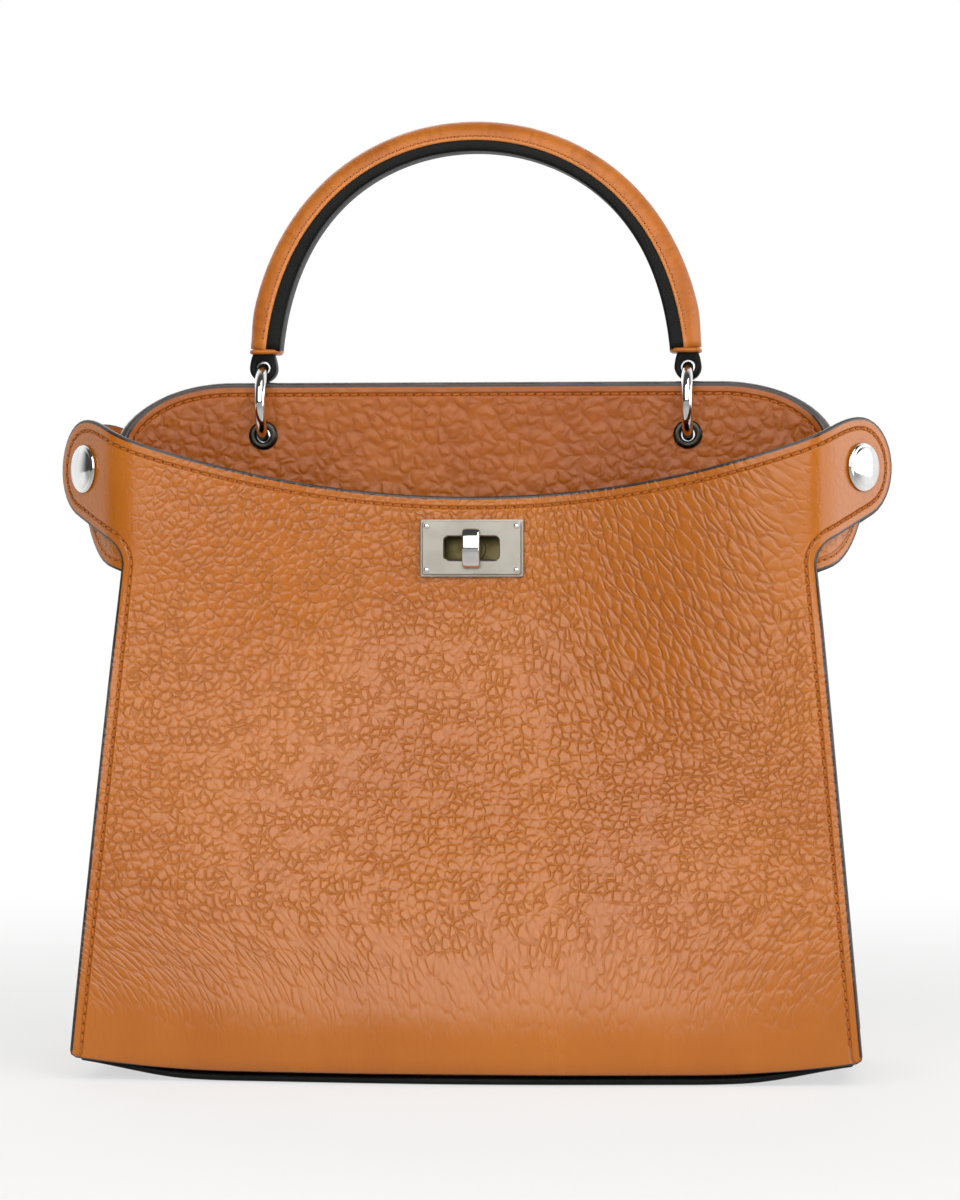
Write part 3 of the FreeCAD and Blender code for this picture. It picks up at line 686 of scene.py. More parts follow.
frontPanel = panelSheet()
makeMirrored("{face}_panel_leather", "{face}_panel", frontPanel, [panelLeather, suede, edgePaint])
print("panels made:", len(frontPanel.faces), "faces each")


# Linings behind the panels
liningSet = {"inset": 1.95, "thick": 1.0, "bulge": 0.2, "side": 9.6, "lift": 5.0, "drop": 3.2, "cols": 60,
             "rows": 60}


def liningSheet():
    cols, rows, points, flat = liningSet["cols"], liningSet["rows"], [], []
    for r in range(rows + 1):
        for c in range(cols + 1):
            u, z = -1 + 2 * c / cols, 80.0
            for _ in range(4):
                w = u * (halfWidth(z) - liningSet["side"])
                low, high = keel(w) + liningSet["lift"], topEdge(w) - liningSet["drop"]
                z = low + (high - low) * r / rows
            flat.append((w, z))
            points.append(panelPoint(w, z, liningSet["inset"]))
    faces = [face for face in gridQuads(rows + 1, cols + 1) if outsideSlot(flat, face)]
    return thickSheet(points, faces, flat, liningSet["thick"], liningSet["bulge"])


makeMirrored("{face}_lining_suede", "{face}_lining", liningSheet(), [suede, suede, edgePaint])


# Gussets: strips folded inwards between panel and divider, with a tab behind each ear
gussetSet = {"leather": 1.2, "bulge": 0.3, "fold": 14.0, "bottom": 9.0, "top": 178.4, "rows": 46,
             "flange": 5.2, "lap": 7.0, "panelGap": 2.5, "dividerGap": 0.9, "rimInset": 0.9,
             "seat": (2.0, 2.1), "footWave": (1.2, 0.16, 0.3), "tabInset": 1.95, "tabLeather": 1.4,
             "tabBulge": 0.35, "tabStart": 113.4, "tabGrid": (30, 14),
             "tabBorder": [(107.6, 164.0), (112.6, 168.4), (119.8, 170.8), (128.2, 172.8), (134.6, 177.0),
                           (138.9, 182.6), (141.4, 188.4), (149.0, 198.0), (150.0, 208.0), (140.0, 215.0),
                           (126.6, 207.9), (107.6, 200.4)]}
dividerSet = {"half": 2.3, "halfWidth": 122.0, "top": 234.2, "curl": 25.0, "curlAngle": 40.0,
              "corner": (38.0, 22.0), "waist": 113.0, "lift": 5.0, "rows": 84, "flatCols": 108, "curlCols": 9,
              "bulge": 1.1, "rimSteps": 7, "hole": 3.75, "holeReach": 3.9, "ringX": 73.0, "eyeletZ": 217.0}
curlStart = dividerSet["halfWidth"] - dividerSet["curl"] * math.sin(math.radians(dividerSet["curlAngle"]))


def seamPoints(z):
    a = np.array([halfWidth(z) - plan["margin"], -sideDepth(z) + gussetSet["panelGap"]])
    b = np.array([curlStart - gussetSet["leather"], -dividerSet["half"] - gussetSet["dividerGap"]])
    return a, b


def arc(start, corner, end, shares):  # points on a curve that rounds a corner
    return [(1 - t) ** 2 * start + 2 * t * (1 - t) * corner + t * t * end for t in shares]


def foldedStrip(z, strip):  # plan of the strip from the panel's edge to the divider
    a, b = seamPoints(z)
    span = b - a
    size = np.linalg.norm(span)
    deep = math.sqrt(strip * strip - size * size) / 2
    m = (a + b) / 2 + np.array([-span[1], span[0]]) / size * deep
    edge = np.array(panelPoint(halfWidth(z) - gussetSet["rimInset"], z, gussetSet["seat"][0])[:2])
    near = np.array(panelPoint(halfWidth(z) - gussetSet["flange"], z, gussetSet["seat"][1])[:2])
    lap = b + np.array([gussetSet["lap"], -0.1])
    row = [edge, (edge + near) / 2, near]
    row += arc(near, a, a + (m - a) * 0.10, (0.3, 0.6, 1.0))
    row += [a + (m - a) * t for t in (0.22, 0.36, 0.5, 0.64, 0.78)]
    row += arc(a + (m - a) * 0.87, m, m + (b - m) * 0.13, (0.0, 0.2, 0.4, 0.6, 0.8, 1.0))
    row += [m + (b - m) * t for t in (0.25, 0.4, 0.55, 0.7, 0.82)]
    row += arc(m + (b - m) * 0.9, b, b + (lap - b) * 0.35, (0.0, 0.35, 0.7, 1.0))
    return row + [lap]


def gussetSheet():
    a, b = seamPoints(plan["roll"])
    strip = 2 * math.sqrt(np.linalg.norm(b - a) ** 2 / 4 + gussetSet["fold"] ** 2)
    rows, points, flat = gussetSet["rows"], [], []
    tall, often, share = gussetSet["footWave"]
    for r in range(rows + 1):
        z = gussetSet["bottom"] + (gussetSet["top"] - gussetSet["bottom"]) * r / rows
        row, run = foldedStrip(z, strip), 0.0
        for i, p in enumerate(row):
            run += np.linalg.norm(p - row[i - 1]) if i else 0.0
            flat.append((run, z))
            wave = smooth((40 - z) / 40) * tall * math.sin(run * often)  # eases into the base
            points.append((p[0], p[1], z - wave * share))
    return thickSheet(points, gridQuads(rows + 1, len(row)), flat, gussetSet["leather"], gussetSet["bulge"])


def tabSheet():  # tab behind the ear, let down a little so that it shows under it
    rows, cols = gussetSet["tabGrid"]
    outer = rounded(gussetSet["tabBorder"], 3)
    outer = evenly(outer[outer[:, 0] > gussetSet["tabStart"]], rows + 1)
    points, flat, index = [], [], []
    for r in range(rows + 1):
        inner = outer[0] + (outer[-1] - outer[0]) * r / rows
        for c in range(cols + 1):
            if c and r in (0, rows):  # the border's ends are single points
                index.append(index[-1])
                continue
            w, z = inner + (outer[r] - inner) * c / cols
            index.append(len(flat))
            flat.append((w, z))
            points.append(panelPoint(w, z, gussetSet["tabInset"]))
    faces = [tuple(index[i] for i in face) for face in gridQuads(rows + 1, cols + 1)]
    return thickSheet(points, faces, flat, gussetSet["tabLeather"], gussetSet["tabBulge"])


makeMirrored("{face}_{side}_gusset_leather", "{face}_{side}_gusset", joined(gussetSheet(), tabSheet()),
             [tabLeather, suede, edgePaint], sides=("right", "left"))
print("gussets made")


# Base: tray under the panels, black all over. Its edge shows as the dark strip below the panels: partly a
# black painted edge, partly painted shadow under the bag
baseSet = {"leather": 2.4, "lip": 1.5, "cols": 90, "rows": 36, "bulge": 0.9, "tuck": 2.2,
           "tuckFrom": (92, 36), "corner": 0.012, "cornerFrom": ((0.8, 0.2), (0.9, 0.1))}


def baseSheet():
    cols, rows, points, flat = baseSet["cols"], baseSet["rows"], [], []
    end = plan["baseHalf"] - baseSet["lip"] - baseSet["bulge"]
    centre, side = centreDepth(baseSet["leather"]), sideDepth(baseSet["leather"])
    deepFrom, wideFrom = baseSet["cornerFrom"]
    for r in range(rows + 1):
        for c in range(cols + 1):
            u, v = -1 + 2 * c / cols, -1 + 2 * r / rows
            x = end * u * (1 - baseSet["corner"] * ramp(abs(v), *deepFrom) * ramp(abs(u), *wideFrom))
            y = (centre + (side - centre) * smooth(abs(u)) - baseSet["lip"]) * v
            flat.append((x, y))
            points.append((x, y, keel(x) + baseSet["tuck"] * ramp(abs(x), *baseSet["tuckFrom"])))
    faces = [tuple(reversed(face)) for face in gridQuads(rows + 1, cols + 1)]
    return thickSheet(points, faces, flat, baseSet["leather"], baseSet["bulge"])


# black all over: partly the black painted edge, partly painted shadow under the bag
makePiece("base_leather", baseSheet(), [strapLeather], "bag", ["base_panel"])


# Divider: one stiff sheet with leather on both faces, its ends curled forwards
def dividerPlan(s):  # s is measured along the sheet; gives x and the y of the middle
    side, a = (1 if s >= 0 else -1), abs(s)
    if a <= curlStart:
        return side * a, 0.0
    curl = dividerSet["curl"]
    turn = (a - curlStart) / curl
    return side * (curlStart + curl * math.sin(turn)), -curl * (1 - math.cos(turn))


curlLength = dividerSet["curl"] * math.radians(dividerSet["curlAngle"])
sheetHalf = curlStart + curlLength
waistLength = dividerSet["curl"] * math.asin((dividerSet["waist"] - curlStart) / dividerSet["curl"])


def sideShare(z):  # how much of the curl is there at each height: the sheet is narrower below the ears
    level = dividerSet["top"] - dividerSet["corner"][1]
    t = min(max((z - plan["armpit"]) / (level - plan["armpit"]), 0.0), 1.0)
    return t + (1 - t) * waistLength / curlLength


def dividerTop(s):
    x = abs(dividerPlan(s)[0])
    wide, high = dividerSet["corner"]
    past = (x - (dividerSet["halfWidth"] - wide)) / wide
    if past <= 0:
        return dividerSet["top"]
    return dividerSet["top"] - high * (1 - math.sqrt(max(1 - min(past, 1.0) ** 2, 0.0)))


def dividerFront(s, z):  # a point on the front face
    x, y = dividerPlan(s)
    turn = max(abs(s) - curlStart, 0.0) / dividerSet["curl"]
    side = 1 if s >= 0 else -1
    return x - side * dividerSet["half"] * math.sin(turn), y - dividerSet["half"] * math.cos(turn), z


def dividerSheet():
    rows, flatCols, curlCols = (dividerSet[key] for key in ("rows", "flatCols", "curlCols"))
    points, flat = [], []
    ends = [curlStart + curlLength * math.sin(math.pi / 2 * (k + 1) / curlCols) for k in range(curlCols)]
    columns = [curlStart * (-1 + 2 * c / flatCols) for c in range(flatCols + 1)]
    columns = [-s for s in reversed(ends)] + columns + ends
    for r in range(rows + 1):
        for s in columns:
            low = keel(dividerPlan(s)[0]) + dividerSet["lift"]
            z = low + (dividerTop(s) - low) * (r / rows)
            past = max(abs(s) - curlStart, 0.0) * (1 - sideShare(z))
            s = math.copysign(abs(s) - past, s)
            flat.append((s, z))
            points.append(dividerFront(s, z))
    faces, flat = gridQuads(rows + 1, len(columns)), np.array(flat)
    for side in (-1, 1):  # round holes for the eyelets
        centre = np.array([side * dividerSet["ringX"], dividerSet["eyeletZ"]])
        kept, gone = [], set()
        for face in faces:
            if max(abs(flat[list(face)].mean(0) - centre)) < dividerSet["holeReach"]:
                gone.update(face)
            else:
                kept.append(face)
        for i in gone & {i for face in kept for i in face}:
            out = flat[i] - centre
            flat[i] = centre + out / np.linalg.norm(out) * dividerSet["hole"]
            points[i] = dividerFront(*flat[i])
        faces = kept
    used = sorted({i for face in faces for i in face})
    place = {old: new for new, old in enumerate(used)}
    faces = [tuple(place[i] for i in face) for face in faces]
    return thickSheet([points[i] for i in used], faces, flat[used], 2 * dividerSet["half"],
                      dividerSet["bulge"], steps=dividerSet["rimSteps"])


makePiece("divider_leather", dividerSheet(), [dividerLeather, dividerLeather, dividerPaint], "bag",
          ["divider_board", "divider_front_skin", "divider_back_skin"])
print("base and divider made")


# Handle: half-round cover over a black strap, on an elliptical arch
handleSet = {"archZ": 236.4, "half": 72.84, "rise": 82.0, "shoulder": 1.3, "legZ": 246.4, "stations": 96,
             "width": 6.6, "depth": 6.3, "skirt": -0.7, "hem": 0.55, "legSlim": (0.04, 0.16),
             "arcShape": (0.94, 0.86), "arcSteps": 24, "taper": 14.0, "strapHalf": 5.9, "strapTop": 4.2,
             "strapLeg": 5.3, "strapTaper": 70.0, "strapRound": (1.1, 0.5), "gap": 0.2, "ringX": 73.0,
             "loopZ": 240.1, "loop": 4.6, "loopReach": 2.6, "loopHole": 2.45, "loopHalf": 3.5,
             "loopSteps": 48, "bandHalf": (5.55, 6.6), "bandX": 72.2, "band": (244.9, 246.5),
             "bandShape": 0.55, "bandSteps": 40}


def handleStations():
    half, rise = handleSet["half"], handleSet["rise"]
    start = math.asin((handleSet["legZ"] - handleSet["archZ"]) / rise)
    rows, run, last = [], 0.0, None
    for k in range(handleSet["stations"] + 1):
        turn = start + (math.pi - 2 * start) * k / handleSet["stations"]
        c, s = math.cos(turn), math.sin(turn)
        spot = np.array([half * c, 0.0, handleSet["archZ"] + rise * s])
        out = unit(np.array([c / half, 0.0, s / rise]))
        spot += out * handleSet["shoulder"] * math.sin(2 * turn) ** 2
        run += np.linalg.norm(spot - last) if last is not None else 0.0
        rows.append((spot, out, run))
        last = spot
    return rows, run


handleRows, handleLength = handleStations()


def legShare(run, taper=handleSet["taper"]):  # 1 at the foot of a leg, 0 past the taper
    return smooth(1 - min(run, handleLength - run) / taper)


def coverSize(run):
    slimWide, slimDeep = handleSet["legSlim"]
    leg = legShare(run)
    return handleSet["width"] * (1 - slimWide * leg), handleSet["depth"] * (1 - slimDeep * leg)


def sweptHandle(section):
    points, flat, edge = [], [], []
    for spot, out, run in handleRows:
        ring, around = section(run), 0.0
        for i, (y, n, fromEdge) in enumerate(ring):
            around += math.hypot(y - ring[i - 1][0], n - ring[i - 1][1]) if i else 0.0
            points.append(spot + out * n + np.array([0.0, y, 0.0]))
            flat.append((run, around))
            edge.append(fromEdge)
    rows, count = len(handleRows), len(ring)
    faces = []
    for near in range(0, (rows - 1) * count, count):
        far = near + count
        faces += [(near + c, far + c, far + (c + 1) % count, near + (c + 1) % count) for c in range(count)]
    faces += [tuple(range(count)), tuple(reversed(range((rows - 1) * count, rows * count)))]
    return plainSheet(points, faces, flat, {"edge": edge})


def coverSection(run):
    wide, deep = coverSize(run)
    low, hem, steps = handleSet["skirt"], handleSet["hem"], handleSet["arcSteps"]
    wideShape, deepShape = handleSet["arcShape"]
    ring = [(-wide + 0.7, low, 0.0), (-wide + 0.15, low + 0.12, 0.2)]
    for step in range(steps + 1):
        turn = math.pi * (step / steps - 0.5)
        s, c = math.sin(turn), math.cos(turn)
        n = low + hem + (deep - low - hem) * c ** deepShape
        ring.append((wide * math.copysign(abs(s) ** wideShape, s), n, n - low - 0.3))
    return ring + [(wide - 0.15, low + 0.12, 0.2), (wide - 0.7, low, 0.0)]


def strapSection(run):
    share = legShare(run, handleSet["strapTaper"])
    thick = handleSet["strapTop"] + (handleSet["strapLeg"] - handleSet["strapTop"]) * share
    high, low, wide = -handleSet["gap"], -handleSet["gap"] - thick, handleSet["strapHalf"]
    r, topRound = handleSet["strapRound"]
    ring = []
    for y, n, size, first in ((wide - r, high - topRound, topRound, 90), (wide - r, low + r, r, 0),
                              (-wide + r, low + r, r, -90), (-wide + r, high - topRound, topRound, 180)):
        for step in range(5):
            turn = math.radians(first - 90 * step / 4)
            ring.append((y + r * math.cos(turn), n + size * math.sin(turn), 5.0))
    return list(reversed(ring))


makePiece("handle_cover_leather", sweptHandle(coverSection), [coverLeather], "handle",
          ["handle_cover", "handle_core"])


def ringMesh(loops):  # closed tube of point loops, the last joined to the first
    count, size = len(loops), len(loops[0])
    faces = []
    for a in range(count):
        near, far = a * size, (a + 1) % count * size
        faces += [(near + i, near + (i + 1) % size, far + (i + 1) % size, far + i) for i in range(size)]
    return np.vstack(loops), faces


def facingOut(points, faces):  # turns a closed shape the right way out
    points = np.array(points, float)
    volume = 0.0
    for face in faces:
        for i in range(1, len(face) - 1):
            volume += np.dot(points[face[0]], np.cross(points[face[i]], points[face[i + 1]]))
    return points, (faces if volume > 0 else [tuple(reversed(face)) for face in faces])


def strapLoop(side):
    # End of the strap turned round the ring and sewn back on itself
    centre, half = np.array([handleSet["ringX"] * side, handleSet["loopZ"]]), handleSet["loopHalf"]
    turns = [2 * math.pi * step / handleSet["loopSteps"] for step in range(handleSet["loopSteps"])]
    circle = np.array([(math.cos(turn), math.sin(turn)) for turn in turns])
    reach = handleSet["loop"] + handleSet["loopReach"] * np.maximum(circle[:, 1:], 0.0) ** 3
    outer, inner = circle * reach, circle * handleSet["loopHole"]
    loops = []
    for flat, scale, y in ((outer, 0.95, -half), (outer, 1.0, -half + 0.5), (outer, 1.0, half - 0.5),
                           (outer, 0.95, half), (inner, 1.1, half), (inner, 1.0, half - 0.4),
                           (inner, 1.0, -half + 0.4), (inner, 1.1, -half)):
        spots = centre + flat * scale
        loops.append(np.stack([spots[:, 0], np.full(len(spots), y), spots[:, 1]], 1))
    return plainSheet(*facingOut(*ringMesh(loops)))


strap = sweptHandle(strapSection)
strap.points, strap.faces = facingOut(strap.points, strap.faces)
makePiece("handle_strap_leather", joined(strap, strapLoop(-1), strapLoop(1)), [strapLeather], "handle",
          ["handle_strap"])


def endBand(side):
    wide, deep = handleSet["bandHalf"]
    low, high = handleSet["band"]
    shape, steps = handleSet["bandShape"], handleSet["bandSteps"]
    loops = []
    for share, z in ((0.0, low), (0.86, low), (0.97, low + 0.3), (1.0, (low + high) / 2), (0.97, high - 0.3),
                     (0.86, high), (0.0, high)):
        ring = []
        for step in range(steps):
            turn = 2 * math.pi * step / steps
            c, s = math.cos(turn), math.sin(turn)
            ring.append((handleSet["bandX"] * side + wide * share * math.copysign(abs(c) ** shape, c),
                         deep * share * math.copysign(abs(s) ** shape, s), z))
        loops.append(np.array(ring))
    points, faces = ringMesh(loops)
    return plainSheet(*facingOut(points, faces[:(len(loops) - 1) * steps]), sheet=points[:, :2])


for side, word in ((-1, "left"), (1, "right")):
    makePiece(f"{word}_end_band", endBand(side), [coverLeather], "handle", [f"{word}_handle_band"])
print("handle made")


def turned(profile, origin, axis, steps=56):
    # Profile of (radius, height) turned about an axis; a radius of 0 closes the end
    axis = unit(np.array(axis, float))
    across = unit(np.cross(axis, [0.0, 0.0, 1.0]))
    third = np.cross(axis, across)
    points, faces, rings = [], [], []
    for radius, height in profile:
        base = np.array(origin) + axis * height
        if radius == 0:
            rings.append([len(points)] * steps)
            points.append(base)
            continue
        rings.append(list(range(len(points), len(points) + steps)))
        for k in range(steps):
            a = 2 * math.pi * k / steps
            points.append(base + (across * math.cos(a) + third * math.sin(a)) * radius)
    closed = profile[0][0] > 0
    for near, far in list(zip(rings, rings[1:])) + ([(rings[-1], rings[0])] if closed else []):
        for k in range(steps):
            face = tuple(dict.fromkeys((near[k], near[(k + 1) % steps], far[(k + 1) % steps], far[k])))
            if len(face) > 2:
                faces.append(face)
    return facingOut(points, faces)


ringSet = {"x": 73.0, "z": 228.4, "mid": 11.7, "wire": 1.9, "around": 96, "section": 22, "joint": 0.05,
           "jointAt": 2.4, "jointWide": 0.05}
eyeletSet = {"z": 217.0, "boreReach": 2.8, "profile": [
    (2.4, 3.1), (2.4, -2.9), (2.7, -3.35), (3.3, -3.6), (4.2, -3.55), (4.7, -3.25), (4.95, -2.75),
    (4.95, -2.4), (3.7, -2.4), (3.7, 3.1)]}
for side, word in ((-1, "left"), (1, "right")):
    loops, size = [], ringSet["section"]
    for k in range(ringSet["around"]):
        a = 2 * math.pi * k / ringSet["around"]
        joint = a + ringSet["jointAt"]
        apart = math.atan2(math.sin(joint), math.cos(joint)) / ringSet["jointWide"]
        wire = ringSet["wire"] * (1 - ringSet["joint"] * math.exp(-apart ** 2))  # closed joint of the wire
        loop = []
        for i in range(size):
            b = 2 * math.pi * i / size
            reach = ringSet["mid"] + wire * math.cos(b)
            loop.append((side * ringSet["x"] + wire * math.sin(b), reach * math.cos(a),
                         ringSet["z"] + reach * math.sin(a)))
        loops.append(np.array(loop))
    makePiece(f"{word}_steel_ring", plainSheet(*facingOut(*ringMesh(loops))), [polishedSteel], f"{word}_ring",
              [f"{word}_handle_ring"])
    centre = np.array([side * ringSet["x"], 0, eyeletSet["z"]])
    points, faces = turned(eyeletSet["profile"], centre, (0, 1, 0))
    # the bore of each eyelet takes the black strap leather instead of metal: painted shade inside the hole
    away = np.linalg.norm((points - centre)[:, [0, 2]], axis=1)
    shadedBore = [int(away[list(face)].max() < eyeletSet["boreReach"]) for face in faces]
    makePiece(f"{word}_eyelet_metal", plainSheet(points, faces, kinds=shadedBore), [darkMetal, strapLeather], "bag",
              [f"{word}_eyelet"])
print("rings and eyelets made")


# Turn lock: stepped plate with a slot, rivets and a saddle bar
lockSet = {"frame": (35.5, 19.7), "step": 0.8, "corner": 0.9, "edge": 0.35, "slot": (18.7, 8.2),
           "slotRound": 1.5, "slotLip": 0.35, "lipDeep": 0.3, "least": 0.2, "back": -13.5, "plate": 1.2,
           "bar": (6.0, 13.4), "barBack": -16.3, "barEnd": 1.5, "barHigh": 4.2, "barSteps": 32,
           "barShape": 0.8, "barTip": (0.12, 0.9, 0.1), "rivet": 1.0, "rivetHigh": 0.55, "rivetInset": 2.4}
# Section of the bar's rounded edge: in from the side and down from the top, mm
barEdge = ((0.0, 0.55), (0.12, 0.2475), (0.4, 0.1), (0.8, 0.0))


def roundedLoop(wide, high, r, perCorner=6, perSide=10):
    loop = []
    for x, z, first in ((1, 1, 0), (-1, 1, 90), (-1, -1, 180), (1, -1, 270)):
        for step in range(perCorner):
            a = math.radians(first + 90 * step / (perCorner - 1))
            loop.append((x * (wide - r) + r * math.cos(a), z * (high - r) + r * math.sin(a)))
    full = []
    for i, p in enumerate(loop):
        full.append(p)
        if i % perCorner == perCorner - 1:
            q = loop[(i + 1) % len(loop)]
            full += [(p[0] + (q[0] - p[0]) * k / perSide, p[1] + (q[1] - p[1]) * k / perSide)
                     for k in range(1, perSide)]
    return np.array(full)


def alongRays(loop, wide, high, r):  # the same directions met on a smaller rounded frame
    found = []
    for x, z in loop:
        low, top = 0.0, 1.0
        for _ in range(40):
            mid = (low + top) / 2
            dx, dz = max(abs(x * mid) - wide + r, 0), max(abs(z * mid) - high + r, 0)
            if math.hypot(dx, dz) <= r and abs(x * mid) <= wide and abs(z * mid) <= high:
                low = mid
            else:
                top = mid
        found.append((x * low, z * low))
    return np.array(found)


def slottedPlate(wide, high, back, front):
    r, e, lip = lockSet["corner"], lockSet["edge"], lockSet["slotLip"]
    sw, sh, sr = lockSet["slot"][0] / 2, lockSet["slot"][1] / 2, lockSet["slotRound"]
    outer, soft, bevel = (roundedLoop(wide / 2 - cut, high / 2 - cut, max(r - cut, lockSet["least"]))
                          for cut in (0.0, e * 0.3, e))
    rim, slot = alongRays(outer, sw + lip, sh + lip, sr + lip), alongRays(outer, sw, sh, sr)
    loops = []
    for flat, y in ((outer, back), (outer, front + e), (soft, front + e * 0.3), (bevel, front),
                    ((bevel + rim) / 2, front), (rim, front), (slot, front + lockSet["lipDeep"]),
                    (slot, back)):
        loops.append(np.stack([flat[:, 0], np.full(len(flat), y), flat[:, 1] + plan["lockZ"]], 1))
    return plainSheet(*facingOut(*ringMesh(loops)))


def saddleBar():
    wide, high = lockSet["bar"][0] / 2, lockSet["bar"][1] / 2
    tip, tipFrom, tipLength = lockSet["barTip"]
    loops = []
    for k in range(lockSet["barSteps"] + 1):
        t = math.sin(math.pi * (k / lockSet["barSteps"] - 0.5))
        saddle = max(1 - t * t, 0) ** lockSet["barShape"]
        tall = lockSet["barEnd"] + (lockSet["barHigh"] - lockSet["barEnd"]) * saddle
        shrink = 1 - tip * ramp(abs(t), tipFrom, tipLength)
        left = [(-wide, 0.0)] + [(-wide + side, tall - down) for side, down in barEdge]
        left.append((-wide * 0.3, tall + 0.02))
        ring = left + [(-x, h) for x, h in reversed(left)]
        loops.append(np.array([(x * shrink, lockSet["barBack"] - h, plan["lockZ"] + high * t)
                               for x, h in ring]))
    size, last = len(ring), (len(loops) - 1) * len(ring)
    points, faces = ringMesh(loops)
    ends = [tuple(reversed(range(size))), tuple(range(last, last + size))]
    return plainSheet(*facingOut(points, faces[:last] + ends))


plateBack, plateFront = lockSet["back"], lockSet["back"] - 2 * lockSet["plate"]
plateStep, faceSize = plateBack - lockSet["plate"], [size - 2 * lockSet["step"] for size in lockSet["frame"]]
lockParts = [slottedPlate(*lockSet["frame"], plateBack, plateStep),
             slottedPlate(*faceSize, plateStep, plateFront), saddleBar()]
for face in ("front", "back"):
    if face == "back":
        lockParts = [flipped(part, 1) for part in lockParts]
    for word, plate in zip(("frame", "face"), lockParts):
        makePiece(f"{face}_lock_{word}_plate", plate, [satinSteel], "bag", [f"{face}_lock_{word}"],
                  False)
    makePiece(f"{face}_saddle_bar", lockParts[2], [polishedSteel], f"{face}_lock", [f"{face}_turn_bar"])
print("locks made")


# Studs on the ears: profile of (radius, height) over the leather
studSet = {"steps": 64, "profile": [
    (0, 2.75), (1.6, 2.7), (3.2, 2.53), (4.8, 2.25), (6.0, 1.93), (6.75, 1.66), (7.0, 1.5), (7.25, 1.47),
    (7.7, 1.32), (8.05, 1.05), (8.22, 0.75), (8.22, 0.45), (8.0, 0.27), (6.5, 0.25), (2.0, 0.25),
    (2.0, -4.4), (0, -4.4)]}
bendTurn = math.radians(plan["bend"])
stud = turned(studSet["profile"], panelPoint(plan["studW"], plan["studZ"]),
              (math.sin(bendTurn), -math.cos(bendTurn), 0.0), studSet["steps"])
makeMirrored("{face}_{side}_stud_cap", "{face}_{side}_stud", plainSheet(*stud), [polishedSteel],
             sides=("right", "left"))
print("studs made")


# Stitches and rivets: small forms set along a path or on points, standing on the surface
def placingTree(name, alongPath, grid, vary):
    tree = bpy.data.node_groups.new(name, "GeometryNodeTree")
    tree.interface.new_socket("Geometry", in_out="OUTPUT", socket_type="NodeSocketGeometry")
    for key, kind in (("Geometry", "Geometry"), ("Pitch", "Float"), ("Shift", "Float"), ("Sink", "Float"),
                      ("Slant", "Float"), ("Size", "Vector"), ("Seed", "Int"), ("Finish", "Material")):
        tree.interface.new_socket(key, in_out="INPUT", socket_type="NodeSocket" + kind)
    given, at = tree.nodes.new("NodeGroupInput"), Wire(tree)
    value = {socket.name: Wire(tree, socket) for socket in given.outputs if socket.name}
    standing, heading = (at.put("GeometryNodeInputNamedAttribute", {"data_type": "FLOAT_VECTOR"},
                                {"Name": key}, "Attribute") for key in ("standing", "heading"))
    spots = value["Geometry"]
    if alongPath:
        curve = at.put("GeometryNodeMeshToCurve", None, {"Mesh": spots}, "Curve")
        spots = at.put("GeometryNodeResampleCurve", {"mode": "LENGTH"},
                       {"Curve": curve, "Length": value["Pitch"]}, "Curve")
        heading = at.put("GeometryNodeInputTangent", None, None, "Tangent")
    aim = at.put("FunctionNodeAxesToRotation", {"primary_axis": "Z", "secondary_axis": "X"},
                 {"Primary Axis": standing, "Secondary Axis": heading}, "Rotation")
    ball = at.put("GeometryNodeMeshUVSphere", None,
                  {"Segments": grid[0], "Rings": grid[1], "Radius": 1.0}, "Mesh")
    place = at.put("ShaderNodeCombineXYZ", None, {"X": value["Shift"], "Z": value["Sink"]})
    tilt = at.put("ShaderNodeCombineXYZ", None, {"Z": value["Slant"]})
    shaped = at.put("GeometryNodeTransform", None, {
        "Geometry": ball, "Scale": value["Size"], "Translation": place, "Rotation": tilt}, "Geometry")
    chance = at.put("FunctionNodeRandomValue", {"data_type": "FLOAT"},
                    {"Min": vary[0], "Max": vary[1], "Seed": value["Seed"]}, "Value")
    copies = at.put("GeometryNodeInstanceOnPoints", None,
                    {"Points": spots, "Instance": shaped, "Rotation": aim, "Scale": chance}, "Instances")
    real = at.put("GeometryNodeRealizeInstances", None, {"Geometry": copies}, "Geometry")
    shade = at.put("GeometryNodeSetShadeSmooth", None, {"Geometry": real}, "Geometry")
    dressed = at.put("GeometryNodeSetMaterial", None,
                     {"Geometry": shade, "Material": value["Finish"]}, "Geometry")
    at.put("NodeGroupOutput", None, {"Geometry": dressed})
    return tree


def placed(name, tree, paths, values, bodyName, nodes=()):
    # paths: lists of (point, standing, heading) in mm; a path becomes edges, loose points stay points
    spots, edges = [], []
    for path in paths:
        edges += [(i, i + 1) for i in range(len(spots), len(spots) + len(path) - 1)]
        spots += path
    points, standing, heading = (np.array(part, float) for part in zip(*spots))
    mesh = bpy.data.meshes.new(name + "_path")
    mesh.from_pydata((points * mm).tolist(), edges, [])
    for key, vectors in (("standing", standing), ("heading", heading)):
        mesh.attributes.new(key, "FLOAT_VECTOR", "POINT").data.foreach_set("vector", vectors.ravel())
    guide = bpy.data.objects.new(name + "_path", mesh)
    scene.collection.objects.link(guide)
    modifier = guide.modifiers.new("placing", "NODES")
    modifier.node_group = tree
    for item in tree.interface.items_tree:
        if item.in_out == "INPUT" and item.name in values:
            modifier[item.identifier] = values[item.name]
    bpy.context.view_layer.update()
    made = bpy.data.meshes.new_from_object(guide.evaluated_get(bpy.context.evaluated_depsgraph_get()))
    made.name = name
    guide.modifiers.clear()
    bpy.data.objects.remove(guide)
    addPiece(name, made, bodyName, nodes)


